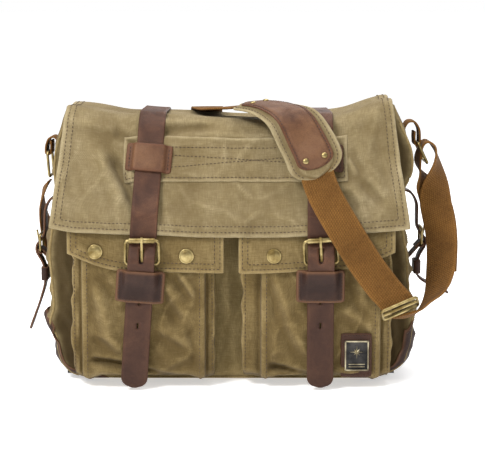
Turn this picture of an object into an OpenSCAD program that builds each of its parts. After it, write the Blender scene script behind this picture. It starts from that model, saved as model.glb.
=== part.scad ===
// Canvas messenger bag: a full front flap, two bellows pockets, leather buckle straps,
// side straps and a webbing shoulder strap with a pad.
// Millimetres, +Z up, front at -Y, origin at the centre of the base on the ground.

/* [Body] */
// Width of the body, side to side
body_w = 400; // [392:1:408]
// Depth of the body, front to back
body_d = 124; // [120:1:128]
// Height of the back panel
body_h = 300; // [298:1:302]
// Thickness of the canvas panels
canvas_t = 3; // [2.5:0.1:3]
// Height of the leather on the bottom corners
corner_h = 75; // [50:1:90]

/* [Pockets] */
// Width of each front pocket
pocket_w = 164; // [156:1:166]
// Height of the pocket mouth above the ground
pocket_top = 176; // [170:1:176]
// Distance that a pocket stands out from the front panel
pocket_depth = 40; // [36:1:40]
// Distance of each pocket's centre from the middle of the bag
pocket_x = 98; // [97:1:99]
// Width of each pocket flap
pocket_flap_w = 174; // [168:1:176]

/* [Front straps] */
// Width of the leather straps
strap_w = 30; // [26:1:30]
// Thickness of the leather straps
strap_t = 2.6; // [2:0.1:2.6]
// Foot of the left strap, from the middle of the bag
left_strap_x = -109; // [-111:1:-107]
// Foot of the right strap, from the middle of the bag
right_strap_x = 101; // [99:1:103]
// Sideways lean of the left strap, in degrees
strap_lean = 4; // [0:0.5:4]

/* [Buckles] */
// Wire diameter of the front buckles
buckle_wire = 3.6; // [3:0.1:3.6]
// Slant of each buckle against its strap, in degrees
buckle_cant = 4; // [0:0.5:4]
// Outer radius of the rollers
roller_r = 3.2; // [2.8:0.1:3.2]
// Radial running clearance of rollers, prongs and rings on their wires
running_gap = 0.08; // [0.03:0.01:0.1]

/* [Side straps] */
// Width of the side straps
side_strap_w = 22; // [18:1:22]
// Wire diameter of the side buckles
side_wire = 3; // [2.6:0.1:3]
// How much higher the right side's fittings sit than the left side's
right_lift = 8; // [0:1:10]

/* [Shoulder strap] */
// Width of the webbing
webbing_w = 38; // [32:1:38]
// Thickness of the webbing
webbing_t = 2.4; // [2:0.1:2.4]
// Width of the shoulder pad
pad_w = 62; // [54:1:62]
// Thickness of the shoulder pad
pad_t = 8; // [6:0.5:8]
// Wire diameter of the rectangular rings
ring_wire = 3.2; // [2.8:0.1:3.2]

/* [Hidden] */
$fn = 48;

canvas = [0.60, 0.54, 0.39];
canvas_shade = [0.52, 0.46, 0.32];
lining_cloth = [0.42, 0.38, 0.28];
board_grey = [0.25, 0.24, 0.22];
brown_leather = [0.36, 0.23, 0.15];
dark_leather = [0.28, 0.18, 0.13];
tan_webbing = [0.56, 0.38, 0.18];
brass = [0.72, 0.60, 0.34];
pewter = [0.33, 0.32, 0.30];
steel = [0.60, 0.60, 0.60];

// Planes of the body
side = body_w / 2;
front = -body_d / 2;
back = body_d / 2;
pocket_face = front - pocket_depth;

// Inside pieces
lining_t = 1;
board_t = 2.4;
divider_y = 30;
divider_t = 6;
divider_top = 240;

// Flap: centre line of its section, from the back seam over the top and down the front
flap_path = [
    [back, body_h + 2.3], [front + 4, body_h + 4], [front - 4.5, body_h - 4],
    [front - 45.5, 192], [front - 47, 176]
];
flap_slope = atan((flap_path[2][0] - flap_path[3][0]) / (flap_path[2][1] - flap_path[3][1]));
band_t = 1.8;
band_w = 232;
band_low = 233;
band_high = 275;

// Pocket flap: centre line of its section, from its hinge seam
pocket_flap_path = [[front - 2.5, 205], [front - 42.8, 180], [front - 44, 134]];
snap_x = [49, 151];
snap_z = [151, 156];
snap_r = 8.5;

// Front strap: centre line of its section; rise lifts the stretch over the top
function strap_path(rise) = [
    [back - 2, body_h + 5.6 + rise], [front + 4, body_h + 7.3 + rise],
    [front - 9.2, body_h - 2.2], [front - 51.4, 196], [front - 50.4, 188],
    [front - 50.4, 177], [front - 49.6, 171.5], [front - 49.6, 167],
    [front - 59.8, 150], [front - 59.8, 141], [front - 50.3, 122], [front - 50.3, 17]
];
strap_tip_z = 2;
strap_holes = [73, 100];
prong_slit = [146.7, 159.5];
lean_rise = 2.2;

// Front buckle: a wire frame that stands in a plane parallel to the front
buckle_y = front - 54.5;
heel_z = 144;
roller_z = 170;
buckle_w = 37.4;
buckle_mid = (heel_z + roller_z) / 2;
wire_bend = 4;
bend_lap = 2;
bend_slim = 0.04;
chape_w = 26;
chape_back = front - 46;
chape_t = 1.3;
patch_t = 1.2;
keeper_low = 100;
keeper_high = 135;
magnet_r = 7;
magnet_z = 118;

// Side fittings, in a section across the bag: distance from the middle, then height
side_heel = [224, 142];
side_roller_bar = [224, 162];
side_buckle_w = 27;
side_tail_left = [[226, 82], [239, 47]];
side_tail_right = [[230, 96], [245, 92], [258, 82]];
function side_strap_path(tail) = concat([
    [201.8, 207], [212, 204], [219, 192], [219.4, 160], [229.2, 149], [229.2, 141],
    [220.5, 126], [219, 104]], tail);

// Rings of the shoulder strap: the bar held by the tab, and the far bar
ring_w = 44.8;
ring_tab_w = 30;
left_ring_bars = [[212.8, 259.5], [210.8, 231.5]];
right_ring_bars = [[217.6, 270], [228.6, 247]];
left_tab_path = [[201.8, 250], [201.8, 273], [206, 277.5], [212.5, 275], [215.6, 266]];
right_tab_path = [[201.8, 262], [201.8, 287], [206.5, 295], [214.5, 295], [220, 286], [220.6, 277]];

// Shoulder pad: centre line and width direction, from its lower end to the top of the bag
pad_line = [
    [98, -105.5, 238], [94, -98.5, 259], [85, -91.5, 278.5], [70, -85, 302.8],
    [52, -64, 311.5], [33, -46, 314], [12, -28, 313]
];
pad_across = [
    [0.95, 0.12, 0.30], [0.95, 0.12, 0.30], [0.94, 0.16, 0.30], [0.87, 0.43, 0.24],
    [0.79, 0.59, 0.13], [0.68, 0.73, 0.08], [0.57, 0.82, 0.05]
];
leather_w = 42;
leather_t = 1.8;
rivet_r = 3.5;

// Webbing runs: centre line and width direction of each
front_line = [
    [98.2, -105.8, 237.2], [106, -113, 218], [122, -120.5, 190], [148, -121.8, 148],
    [170, -122, 118], [181, -122.4, 106]
];
front_across = [
    [0.95, 0.12, 0.30], [0.92, 0.11, 0.38], [0.88, 0.10, 0.46], [0.88, 0.08, 0.46],
    [0.88, 0.06, 0.46], [0.90, 0.05, 0.42]
];
top_line = [[11.3, -27.4, 313], [-8, -11, 310.5], [-20, 8, 308.5], [-27, 30, 308], [-29, 50, 307.6]];
top_across = [[0.57, 0.82, 0.05], [0.76, 0.65, 0.02], [0.90, 0.42, 0], [0.98, 0.2, 0], [1, 0, 0]];
rear_line = [
    [-30, 69, 292], [-32, 69, 250], [-42, 69, 190], [-72, 69, 135], [-115, 69, 102],
    [-162, 69.5, 92], [-203, 69.5, 115], [-222, 49, 155], [-226, 21, 198], [-213.5, 1, 224]
];
rear_across = [
    [1, 0, 0], [0.99, 0, -0.1], [0.94, 0, -0.33], [0.78, 0, -0.63], [0.45, 0, -0.89],
    [-0.17, 0, -0.98], [-0.63, -0.37, -0.66], [-0.21, -0.85, -0.48], [0, -0.87, -0.49],
    [0, -1, 0]
];
loop_line = [
    [193, -104, 83.5], [205, -101, 84.5], [218, -93, 90], [232, -80, 102], [241, -62, 127],
    [243.5, -40, 165], [239, -17, 207], [242, -1, 246]
];
loop_across = [
    [0.60, -0.72, 0.34], [0.45, -0.78, 0.43], [0.35, -0.80, 0.49], [0.55, -0.75, 0.37],
    [0.78, -0.60, 0.15], [0.90, -0.42, 0], [0.985, 0.17, 0], [0.30, 0.95, 0]
];
crest_line = [[238.5, 0, 264], [229.5, 0, 271], [222.5, 0, 263], [221, 0, 240]];
ply_gap = -4;
ply_end = 4;

// Slider: a wire frame with a middle bar
slider_at = [189, -120, 94];
slider_turn = [-38, -23, 3];
slider_w = 42.6;
slider_h = 22.6;
slider_wire = 3.4;

// ---- geometry helpers -------------------------------------------------------------

function unit(v) = v / norm(v);
function left_of(d) = [-d[1], d[0]];
function leg(p, i) = unit(p[i + 1] - p[i]);
function leg_in(p, i) = leg(p, max(i - 1, 0));
function leg_out(p, i) = leg(p, min(i, len(p) - 2));
function mitre(p, i) =
    let (a = left_of(leg_in(p, i)), m = unit(a + left_of(leg_out(p, i))))
    m / (m * a);
function band(p, t) = concat(
    [for (i = [0 : len(p) - 1]) p[i] + mitre(p, i) * t / 2],
    [for (i = [len(p) - 1 : -1 : 0]) p[i] - mitre(p, i) * t / 2]);
function tangent(p, i) = unit(p[min(i + 1, len(p) - 1)] - p[max(i - 1, 0)]);
function outward(p, u, i) = unit(cross(u[i], tangent(p, i)));
function lifted(p, u, d) = [for (i = [0 : len(p) - 1]) p[i] + outward(p, u, i) * d];
function corners(p, u, i, w, t) =
    let (a = unit(u[i]) * w / 2, n = -outward(p, u, i) * t / 2)
    [p[i] - a - n, p[i] + a - n, p[i] + a + n, p[i] - a + n];
function mixed(a, b, f) = a * (1 - f) + b * f;

// A box between two corners
module slab(low, high) {
    translate(low) cube(high - low);
}

// An outline in the plane of Y and Z, spread along X
module along_x(w) {
    rotate([90, 0, 90]) linear_extrude(w, center = true) children();
}

// An outline in the plane of X and Z, spread along Y
module along_y(w) {
    rotate([90, 0, 0]) linear_extrude(w, center = true) children();
}

// A cylinder along X
module rod_x(r, h) {
    rotate([0, 90, 0]) cylinder(r = r, h = h, center = true);
}

// A cylinder along Y
module rod_y(r, h) {
    rotate([90, 0, 0]) cylinder(r = r, h = h, center = true);
}

// A flat band that follows a line in space
module ribbon(p, u, w, t) {
    n = len(p);
    rings = [for (i = [0 : n - 1]) each corners(p, u, i, w, t)];
    sides = [for (i = [0 : n - 2], k = [0 : 3])
        let (a = 4 * i + k, b = 4 * i + (k + 1) % 4)
        each k < 2 ? [[a, a + 4, b + 4], [a, b + 4, b]] : [[a, a + 4, b], [a + 4, b + 4, b]]];
    ends = [[0, 1, 2], [0, 2, 3], [4 * n - 2, 4 * n - 3, 4 * n - 4], [4 * n - 1, 4 * n - 2, 4 * n - 4]];
    polyhedron(rings, concat(sides, ends));
}

// A rectangle of bent wire in the plane of X and Z. Each bend is a hair thinner than the
// straights and runs a little way into them, so that the two join inside one another.
module wire_frame(w, h, wire) {
    for (s = [-1, 1]) {
        translate([0, 0, s * h / 2]) rod_x(wire / 2, w - 2 * wire_bend);
        translate([s * w / 2, 0, 0]) cylinder(d = wire, h = h - 2 * wire_bend, center = true);
    }
    for (mx = [0, 1], mz = [0, 1])
        mirror([mx, 0, 0]) mirror([0, 0, mz])
            translate([w / 2 - wire_bend, 0, h / 2 - wire_bend])
                rotate([90, 0, 0]) rotate([0, 0, -bend_lap])
                    rotate_extrude(angle = 90 + 2 * bend_lap)
                        translate([wire_bend, 0]) circle(d = wire - bend_slim);
}

// ---- placement --------------------------------------------------------------------

// Puts a piece drawn about X = 0 on the left or the right front strap
module on_strap(left) {
    translate([left ? left_strap_x : right_strap_x, 0, 0])
        rotate([0, left ? strap_lean : 0, 0]) children();
}

// The same for the pieces that are canted with the buckle
module on_buckle(left) {
    on_strap(left) translate([0, 0, buckle_mid]) rotate([0, -buckle_cant, 0])
        translate([0, 0, -buckle_mid]) children();
}

// Puts a piece drawn for the right side, at the left's height, on either side
module on_side(left) {
    mirror([left ? 1 : 0, 0, 0]) translate([0, 0, left ? 0 : right_lift]) children();
}

// A frame on the slope of the flap's front: X across, Y down the slope, Z outward
module on_flap_slope(z) {
    f = (flap_path[2][1] - z) / (flap_path[2][1] - flap_path[3][1]);
    y = mixed(flap_path[2][0], flap_path[3][0], f);
    translate([0, y, z]) rotate([90 - flap_slope, 0, 0]) children();
}

// ---- body -------------------------------------------------------------------------

module front_panel() {
    color(canvas) slab([-side, front, canvas_t], [side, front + canvas_t, body_h - 2]);
}

module back_panel() {
    color(canvas) slab([-side, back - canvas_t, canvas_t], [side, back, body_h]);
}

module gusset(left) {
    color(canvas_shade) mirror([left ? 1 : 0, 0, 0])
        slab([side - canvas_t, front + canvas_t, canvas_t], [side, back - canvas_t, body_h - 8]);
}

module bottom_panel() {
    color(canvas_shade) slab([40 - side, front, 0], [side - 40, back, canvas_t]);
}

module corner_patch(left) {
    color(dark_leather) mirror([left ? 1 : 0, 0, 0]) along_y(body_d) polygon([
        [side - 40, 0], [side + 2.4, 0], [side + 2.4, corner_h], [side + 0.2, corner_h],
        [side + 0.2, canvas_t], [side - 40, canvas_t]]);
}

module lining() {
    x = side - canvas_t - 0.2;
    y = back - canvas_t - 0.2;
    z = canvas_t + 0.2;
    color(lining_cloth) difference() {
        slab([-x, -y, z], [x, y, 285]);
        slab([lining_t - x, lining_t - y, z + lining_t], [x - lining_t, y - lining_t, 290]);
    }
}

module base_board() {
    z = canvas_t + 0.2 + lining_t + 0.4;
    color(board_grey) slab([10 - side, front + 10, z], [side - 10, back - 10, z + board_t]);
}

module laptop_divider() {
    x = side - 15;
    color(lining_cloth) slab([-x, divider_y, 7.2], [x, divider_y + divider_t, divider_top]);
}

// ---- pockets ----------------------------------------------------------------------

module pocket(left) {
    x = pocket_w / 2;
    color(canvas) translate([left ? -pocket_x : pocket_x, 0, 0]) difference() {
        slab([-x, pocket_face, 8], [x, front, pocket_top]);
        slab([canvas_t - x, pocket_face + canvas_t, 8 + canvas_t], [x - canvas_t, front + 1, pocket_top + 1]);
    }
}

module pocket_flap(left) {
    color(canvas) translate([left ? 1 - pocket_x : pocket_x - 1, 0, 0])
        along_x(pocket_flap_w) polygon(band(pocket_flap_path, canvas_t));
}

module snap_caps(left) {
    profile = [[0, 0], [snap_r, 0], [snap_r, 1.2], [snap_r - 2.2, 2.4], [0, 2.9]];
    color(brass) for (i = [0, 1])
        translate([left ? -snap_x[i] : snap_x[i], front - 45.4, snap_z[i]]) rotate([90, 0, 0])
            rotate_extrude() polygon(profile);
}

module snap_sockets() {
    color(brass) for (s = [-1, 1], i = [0, 1])
        translate([s * snap_x[i], pocket_face - 0.6, snap_z[i]]) rod_y(6, 1.2);
}

module pocket_magnets() {
    color(steel) for (left = [true, false])
        on_strap(left) translate([0, pocket_face - 1.2, magnet_z]) rod_y(magnet_r, 2.4);
}

module badge_patch() {
    color(brown_leather) slab([125, pocket_face - 1.2, 13], [159, pocket_face, 62]);
}

module badge_plate() {
    color(pewter) slab([129, pocket_face - 3, 20], [156, pocket_face - 1.2, 54.5]);
}

// ---- side fittings ----------------------------------------------------------------

module ring_tab(left) {
    path = left ? left_tab_path : right_tab_path;
    bar = left ? left_ring_bars[0] : right_ring_bars[0];
    color(left ? tan_webbing : brown_leather) mirror([left ? 1 : 0, 0, 0]) difference() {
        union() {
            along_y(ring_tab_w) polygon(band(path, webbing_t));
            translate([bar[0], 0, bar[1]]) rod_y(4.2, ring_tab_w);
            along_y(ring_tab_w) polygon(band([path[len(path) - 1], bar], webbing_t));
        }
        translate([bar[0], 0, bar[1]]) rod_y(ring_wire / 2 + running_gap, ring_tab_w + 1);
    }
}

module ring(left) {
    bars = left ? left_ring_bars : right_ring_bars;
    middle = (bars[0] + bars[1]) / 2;
    drop = bars[1] - bars[0];
    color(brass) mirror([left ? 1 : 0, 0, 0]) translate([middle[0], 0, middle[1]])
        rotate([0, atan2(-drop[0], -drop[1]), 0]) rotate([0, 0, 90])
            wire_frame(ring_w, norm(drop), ring_wire);
}

module side_strap(left) {
    path = side_strap_path(left ? side_tail_left : side_tail_right);
    color(brown_leather) on_side(left) difference() {
        along_y(side_strap_w) polygon(band(path, strap_t));
        slab([215, -1.8, 144], [233, 1.8, 158]);
    }
}

module side_chape(left) {
    color(dark_leather) on_side(left) difference() {
        union() {
            along_y(side_strap_w) polygon(band([[201.8, 100], [201.8, 118], [223, 140.6]], webbing_t));
            translate([side_heel[0], 0, side_heel[1]]) rod_y(3.4, side_strap_w);
        }
        translate([side_heel[0], 0, side_heel[1]]) rod_y(side_wire / 2 + 0.1, side_strap_w + 1);
        slab([218, -3, 137], [230, 3, 147]);
    }
}

module side_keeper(left) {
    color(dark_leather) on_side(left) translate([219.8, 0, 115]) difference() {
        cube([8.4, 28, 16], center = true);
        cube([4.4, 24, 17], center = true);
    }
}

module side_buckle(left) {
    middle = (side_heel + side_roller_bar) / 2;
    color(brass) on_side(left) translate([middle[0], 0, middle[1]]) rotate([0, 0, 90])
        wire_frame(side_buckle_w, side_roller_bar[1] - side_heel[1], side_wire);
}

module side_prong(left) {
    color(brass) on_side(left) difference() {
        union() {
            translate([side_heel[0], 0, side_heel[1]]) rod_y(2.9, 3.6);
            along_y(2.2) polygon(band([[225.6, 144.2], [228.7, 163], [229.2, 166]], 2));
        }
        translate([side_heel[0], 0, side_heel[1]]) rod_y(side_wire / 2 + running_gap, 5);
    }
}

module strap_anchors() {
    color(dark_leather) for (x = [-88, right_strap_x])
        slab([x - strap_w / 2, back, 232], [x + strap_w / 2, back + 2.6, 292]);
}

// ---- main flap and what it carries ------------------------------------------------

module main_flap() {
    color(canvas) along_x(body_w) polygon(band(flap_path, canvas_t));
}

module flap_band() {
    mid = (band_low + band_high) / 2;
    long = (band_high - band_low) / cos(flap_slope);
    color(canvas) on_flap_slope(mid) translate([0, 0, canvas_t / 2 + band_t / 2])
        cube([band_w, long, band_t], center = true);
}

module upper_keeper(left) {
    x = (left ? left_strap_x : right_strap_x) + (left ? 257 * sin(strap_lean) : 0);
    low = canvas_t / 2 + band_t + 0.05;
    color(brown_leather) on_flap_slope(257) translate([x, 0, 0])
        rotate([0, 0, left ? -strap_lean : 0]) difference() {
            union() {
                slab([-25, -15, low], [25, 15, low + 2]);
                slab([-18.4, -15, low], [18.4, 15, 9.9]);
            }
            slab([-16, -16, low - 1], [16, 16, 7.8]);
        }
}

module strap(left) {
    path = strap_path(left ? lean_rise : 0);
    tail_y = path[len(path) - 1][0];
    color(brown_leather) on_strap(left) difference() {
        union() {
            along_x(strap_w) polygon(band(path, strap_t));
            translate([0, tail_y, strap_tip_z + strap_w / 2]) rod_y(strap_w / 2, strap_t);
        }
        slab([-2.5, tail_y - 15, prong_slit[0]], [2.5, tail_y + 5, prong_slit[1]]);
        for (z = strap_holes)
            slab([-1.2, tail_y - 5, z - 3.5], [1.2, tail_y + 5, z + 3.5]);
    }
}

module chape(left) {
    face = chape_back - chape_t;
    color(dark_leather) on_buckle(left) difference() {
        union() {
            along_x(chape_w) polygon([
                [chape_back, 104], [face, 104], [face, 137], [buckle_y + 2, 140.7],
                [buckle_y, heel_z], [buckle_y, heel_z + 3.8], [chape_back, 141]]);
            translate([0, buckle_y, heel_z]) rod_x(3.8, chape_w);
        }
        translate([0, buckle_y, heel_z]) rod_x(buckle_wire / 2 + 0.2, chape_w + 1);
        slab([-3, buckle_y - 5, heel_z - 4.2], [3, buckle_y + 4.4, heel_z + 5]);
    }
}

module lower_keeper(left) {
    face = chape_back - chape_t;
    inner = face - patch_t;
    color(dark_leather) on_strap(left) difference() {
        union() {
            slab([-26, inner, keeper_low], [26, face, keeper_high]);
            slab([-26, inner - 2.2, keeper_low], [26, inner, keeper_high]);
            along_x(36.4) polygon([
                [inner, keeper_low], [inner - 5.7, keeper_low], [inner - 5.7, 121],
                [inner - 12.7, keeper_high], [inner, keeper_high]]);
        }
        along_x(32) polygon([
            [inner, keeper_low - 1], [inner - 3.4, keeper_low - 1], [inner - 3.4, 121.2],
            [inner - 10.5, keeper_high + 1], [inner, keeper_high + 1]]);
    }
}

module buckle(left) {
    color(brass) on_buckle(left) translate([0, buckle_y, buckle_mid])
        wire_frame(buckle_w, roller_z - heel_z, buckle_wire);
}

module roller(left) {
    color(brass) on_buckle(left) translate([0, buckle_y, roller_z]) difference() {
        rod_x(roller_r, 28);
        rod_x(buckle_wire / 2 + running_gap, 29);
    }
}

module prong(left) {
    color(brass) on_buckle(left) difference() {
        union() {
            translate([0, buckle_y, heel_z]) rod_x(3.3, 3.6);
            along_x(2.4) polygon(band([
                [buckle_y - 1.7, 146.5], [buckle_y - 4.9, 171], [buckle_y - 5.4, 174.5]], 2.2));
        }
        translate([0, buckle_y, heel_z]) rod_x(buckle_wire / 2 + running_gap, 5);
    }
}

module flap_magnets() {
    color(steel) for (left = [true, false])
        on_strap(left) translate([0, chape_back + 1.4, magnet_z]) rod_y(magnet_r, 2.8);
}

// ---- shoulder strap ---------------------------------------------------------------

module shoulder_pad() {
    color(canvas) ribbon(pad_line, pad_across, pad_w, pad_t);
}

module pad_leather() {
    last = len(pad_line) - 1;
    line = [for (i = [0 : last])
        i == 0 ? mixed(pad_line[0], pad_line[1], 0.35)
        : i == last ? mixed(pad_line[last], pad_line[last - 1], 0.3) : pad_line[i]];
    color(brown_leather)
        ribbon(lifted(line, pad_across, pad_t / 2 + leather_t / 2 + 0.4), pad_across, leather_w, leather_t);
}

module pad_rivets() {
    color(brass) for (i = [1, len(pad_line) - 2], s = [-1, 1]) {
        out = outward(pad_line, pad_across, i);
        lift = pad_t / 2 + leather_t + 1.3;
        translate(pad_line[i] + unit(pad_across[i]) * s * 11 + out * lift)
            rotate([0, acos(out[2]), atan2(out[1], out[0])])
                cylinder(r1 = rivet_r, r2 = rivet_r - 1.2, h = 1.6);
    }
}

module webbing_front() {
    color(tan_webbing) ribbon(front_line, front_across, webbing_w, webbing_t);
}

module webbing_top() {
    color(tan_webbing) ribbon(top_line, top_across, webbing_w, webbing_t);
}

module webbing_rear() {
    color(tan_webbing) ribbon(rear_line, rear_across, webbing_w, webbing_t);
}

// The doubled webbing: up the outside, over the far bar of the ring and down the inside
module webbing_loop() {
    last = len(loop_line) - 1;
    inner = lifted(loop_line, loop_across, ply_gap);
    line = concat(loop_line, crest_line, [for (i = [last - 1 : -1 : ply_end]) inner[i]]);
    across = concat(loop_across, [for (c = crest_line) [0, 1, 0]],
        [for (i = [last - 1 : -1 : ply_end]) loop_across[i]]);
    color(tan_webbing) ribbon(line, across, webbing_w, webbing_t);
}

module strap_slider() {
    color(brass) translate(slider_at) rotate(slider_turn) rotate([90, 0, 0]) {
        wire_frame(slider_w, slider_h, slider_wire);
        rod_x(slider_wire / 2, slider_w);
    }
}

// ---- nodes ------------------------------------------------------------------------

front_panel();
back_panel();
gusset(true);  // left_gusset
gusset(false);  // right_gusset
bottom_panel();
lining();
base_board();
laptop_divider();
pocket(true);  // left_pocket
pocket(false);  // right_pocket
snap_sockets();
pocket_magnets();
corner_patch(true);  // left_corner_patch
corner_patch(false);  // right_corner_patch
badge_patch();
badge_plate();
ring_tab(true);  // left_ring_tab
ring_tab(false);  // right_ring_tab
side_strap(true);  // left_side_strap
side_strap(false);  // right_side_strap
side_chape(true);  // left_side_chape
side_chape(false);  // right_side_chape
side_keeper(true);  // left_side_keeper
side_keeper(false);  // right_side_keeper
side_buckle(true);  // left_side_buckle
side_buckle(false);  // right_side_buckle
webbing_loop();
webbing_rear();
strap_anchors();
ring(true);  // left_ring
ring(false);  // right_ring
side_prong(true);  // left_side_prong
side_prong(false);  // right_side_prong
main_flap();
flap_band();
upper_keeper(true);  // left_upper_keeper
upper_keeper(false);  // right_upper_keeper
strap(true);  // left_strap
strap(false);  // right_strap
chape(true);  // left_chape
chape(false);  // right_chape
lower_keeper(true);  // left_lower_keeper
lower_keeper(false);  // right_lower_keeper
buckle(true);  // left_buckle
buckle(false);  // right_buckle
flap_magnets();
prong(true);  // left_prong
prong(false);  // right_prong
roller(true);  // left_roller
roller(false);  // right_roller
pocket_flap(true);  // left_pocket_flap
pocket_flap(false);  // right_pocket_flap
snap_caps(true);  // left_snap_caps
snap_caps(false);  // right_snap_caps
shoulder_pad();
pad_leather();
pad_rivets();
webbing_front();
webbing_top();
webbing_rear();
strap_slider();
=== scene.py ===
"""The looks of the canvas messenger bag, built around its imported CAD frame.

Shapes are worked out in millimetres, in the CAD's frame (Z up, front at -Y), and every
mesh is scaled to metres when it is made.
"""

import math

import bmesh
import bpy
import numpy as np
from mathutils import Matrix, Vector


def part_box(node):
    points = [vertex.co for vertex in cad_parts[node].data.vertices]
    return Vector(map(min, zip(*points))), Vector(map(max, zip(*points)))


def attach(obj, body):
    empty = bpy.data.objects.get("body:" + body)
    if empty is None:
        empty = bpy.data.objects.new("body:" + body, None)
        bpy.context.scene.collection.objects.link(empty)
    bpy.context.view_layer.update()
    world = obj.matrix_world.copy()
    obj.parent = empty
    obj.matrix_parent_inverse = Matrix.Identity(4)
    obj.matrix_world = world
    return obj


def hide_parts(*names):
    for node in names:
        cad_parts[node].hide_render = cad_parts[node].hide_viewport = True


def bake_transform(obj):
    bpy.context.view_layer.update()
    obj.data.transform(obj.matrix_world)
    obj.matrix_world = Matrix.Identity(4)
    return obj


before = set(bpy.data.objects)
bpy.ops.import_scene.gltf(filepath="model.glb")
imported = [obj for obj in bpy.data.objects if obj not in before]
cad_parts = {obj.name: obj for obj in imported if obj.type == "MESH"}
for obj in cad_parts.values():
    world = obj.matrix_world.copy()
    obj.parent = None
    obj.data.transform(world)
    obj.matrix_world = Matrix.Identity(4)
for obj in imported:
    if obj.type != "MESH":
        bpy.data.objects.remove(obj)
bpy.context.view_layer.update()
MM = 0.001
TAU = 2 * math.pi


# ---- camera and light, in metres -----------------------------------------------------

LENS_MM = 117
CAMERA_AT = (0.0137, -1.847, 0.4245)
CAMERA_AIM = (0.0137, -0.065, 0.174)
LIGHT_AIM = (0, 0, 0.16)
SKY = ((0.03, 1.0), (0.12, 0.4), (0.8, 0.62))
FLOOR_SIZE = 400
FLOOR_DROP = 0.0012


def look_at(obj, target):
    aim = Vector(target) - obj.location
    obj.rotation_euler = aim.to_track_quat("-Z", "Y").to_euler()


def make_camera():
    """The photograph's view: straight on, a little from above, through a long lens."""
    data = bpy.data.cameras.new("camera")
    data.lens = LENS_MM
    data.sensor_width = 36
    camera = bpy.data.objects.new("camera", data)
    bpy.context.scene.collection.objects.link(camera)
    camera.location = CAMERA_AT
    look_at(camera, CAMERA_AIM)
    bpy.context.scene.camera = camera


def area_light(name, place, size, power):
    data = bpy.data.lights.new(name, "AREA")
    data.shape = "DISK"
    data.size = size
    data.energy = power
    light = bpy.data.objects.new(name, data)
    bpy.context.scene.collection.objects.link(light)
    light.location = place
    look_at(light, LIGHT_AIM)


def make_world():
    """A surround that is white at the horizon and grey above it, for soft light."""
    world = bpy.data.worlds.new("studio")
    bpy.context.scene.world = world
    world.use_nodes = True
    nodes, links = world.node_tree.nodes, world.node_tree.links
    where = nodes.new("ShaderNodeTexCoord")
    parts = nodes.new("ShaderNodeSeparateXYZ")
    sky = nodes.new("ShaderNodeValToRGB")
    sky.color_ramp.elements.new(0.5)
    for element, (height, grey) in zip(sky.color_ramp.elements, SKY):
        element.position = height
        element.color = (grey, grey, grey, 1)
    links.new(where.outputs["Generated"], parts.inputs[0])
    links.new(parts.outputs["Z"], sky.inputs[0])
    links.new(sky.outputs[0], nodes["Background"].inputs["Color"])


def make_floor():
    bpy.ops.mesh.primitive_plane_add(size=FLOOR_SIZE, location=(0, 0, -FLOOR_DROP))
    floor = bpy.context.object
    floor.name = "floor"
    paint = bpy.data.materials.new("floor_white")
    paint.use_nodes = True
    shader = paint.node_tree.nodes["Principled BSDF"]
    shader.inputs["Base Color"].default_value = (0.93, 0.93, 0.93, 1)
    shader.inputs["Roughness"].default_value = 0.9
    shader.inputs["Emission Color"].default_value = (1, 1, 1, 1)
    shader.inputs["Emission Strength"].default_value = 0.5
    floor.data.materials.append(paint)


def make_studio():
    """A pale floor, a pale surround and large soft lights."""
    bpy.context.scene.view_settings.view_transform = "Standard"
    make_world()
    make_floor()
    area_light("key", (-1.2, -1.4, 2.1), 1.0, 56)
    area_light("top", (0.3, 0.0, 2.1), 1.4, 26)
    area_light("back_rim", (0.8, 1.9, 1.4), 1.4, 16)


make_camera()
make_studio()


# ---- sizes taken from the frame, in millimetres ------------------------------------

def low(node):
    return np.array(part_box(node)[0]) / MM


def high(node):
    return np.array(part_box(node)[1]) / MM


FRONT = low("front_panel")[1]
POCKET_FACE = low("left_pocket")[1]

# Front straps and their buckles. The left strap leans, and both buckles are canted.
STRAP_W = 30
STRAP_T = 2.6
LEFT_STRAP_X = -109
RIGHT_STRAP_X = 101
STRAP_LEAN_DEG = 4
BUCKLE_CANT_DEG = 4
HEEL_Z = 144
ROLLER_Z = 170
BUCKLE_Y = FRONT - 54.5
KEEPER_LOW = 100
KEEPER_HIGH = 135
UPPER_KEEPER_Z = 257
ANCHOR_Y = 66.6
ANCHOR_LOW = 232

# Shoulder webbing and side straps. The right side's fittings sit higher than the left's.
WEBBING_W = 38
WEBBING_T = 2.4
SIDE_STRAP_W = 22
SIDE_X = 201.8
RIGHT_LIFT = 8
ALONG_Y = [0, 1.0, 0]


# ---- shape helpers ------------------------------------------------------------------

def unit(v):
    v = np.asarray(v, float)
    return v / np.maximum(np.linalg.norm(v, axis=-1, keepdims=True), 1e-9)


def smooth(a, b, x):
    """0 before a and 1 after b, with a soft change between them; b may be below a."""
    t = np.clip((np.asarray(x, float) - a) / (b - a), 0, 1)
    return t * t * (3 - 2 * t)


def bump(x, centre, width):
    return np.exp(-((np.asarray(x, float) - centre) / width) ** 2)


def table(x, pairs):
    """Values between listed (position, value) pairs, rounded off by a cubic."""
    xs, ys = np.array(pairs, float).T
    slopes = np.gradient(ys, xs)
    x = np.clip(np.asarray(x, float), xs[0], xs[-1])
    i = np.clip(np.searchsorted(xs, x, side="right") - 1, 0, len(xs) - 2)
    h = xs[i + 1] - xs[i]
    t = (x - xs[i]) / h
    return ((1 + 2 * t) * (1 - t) ** 2 * ys[i] + t * (1 - t) ** 2 * h * slopes[i]
            + t * t * (3 - 2 * t) * ys[i + 1] + t * t * (t - 1) * h * slopes[i + 1])


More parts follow.
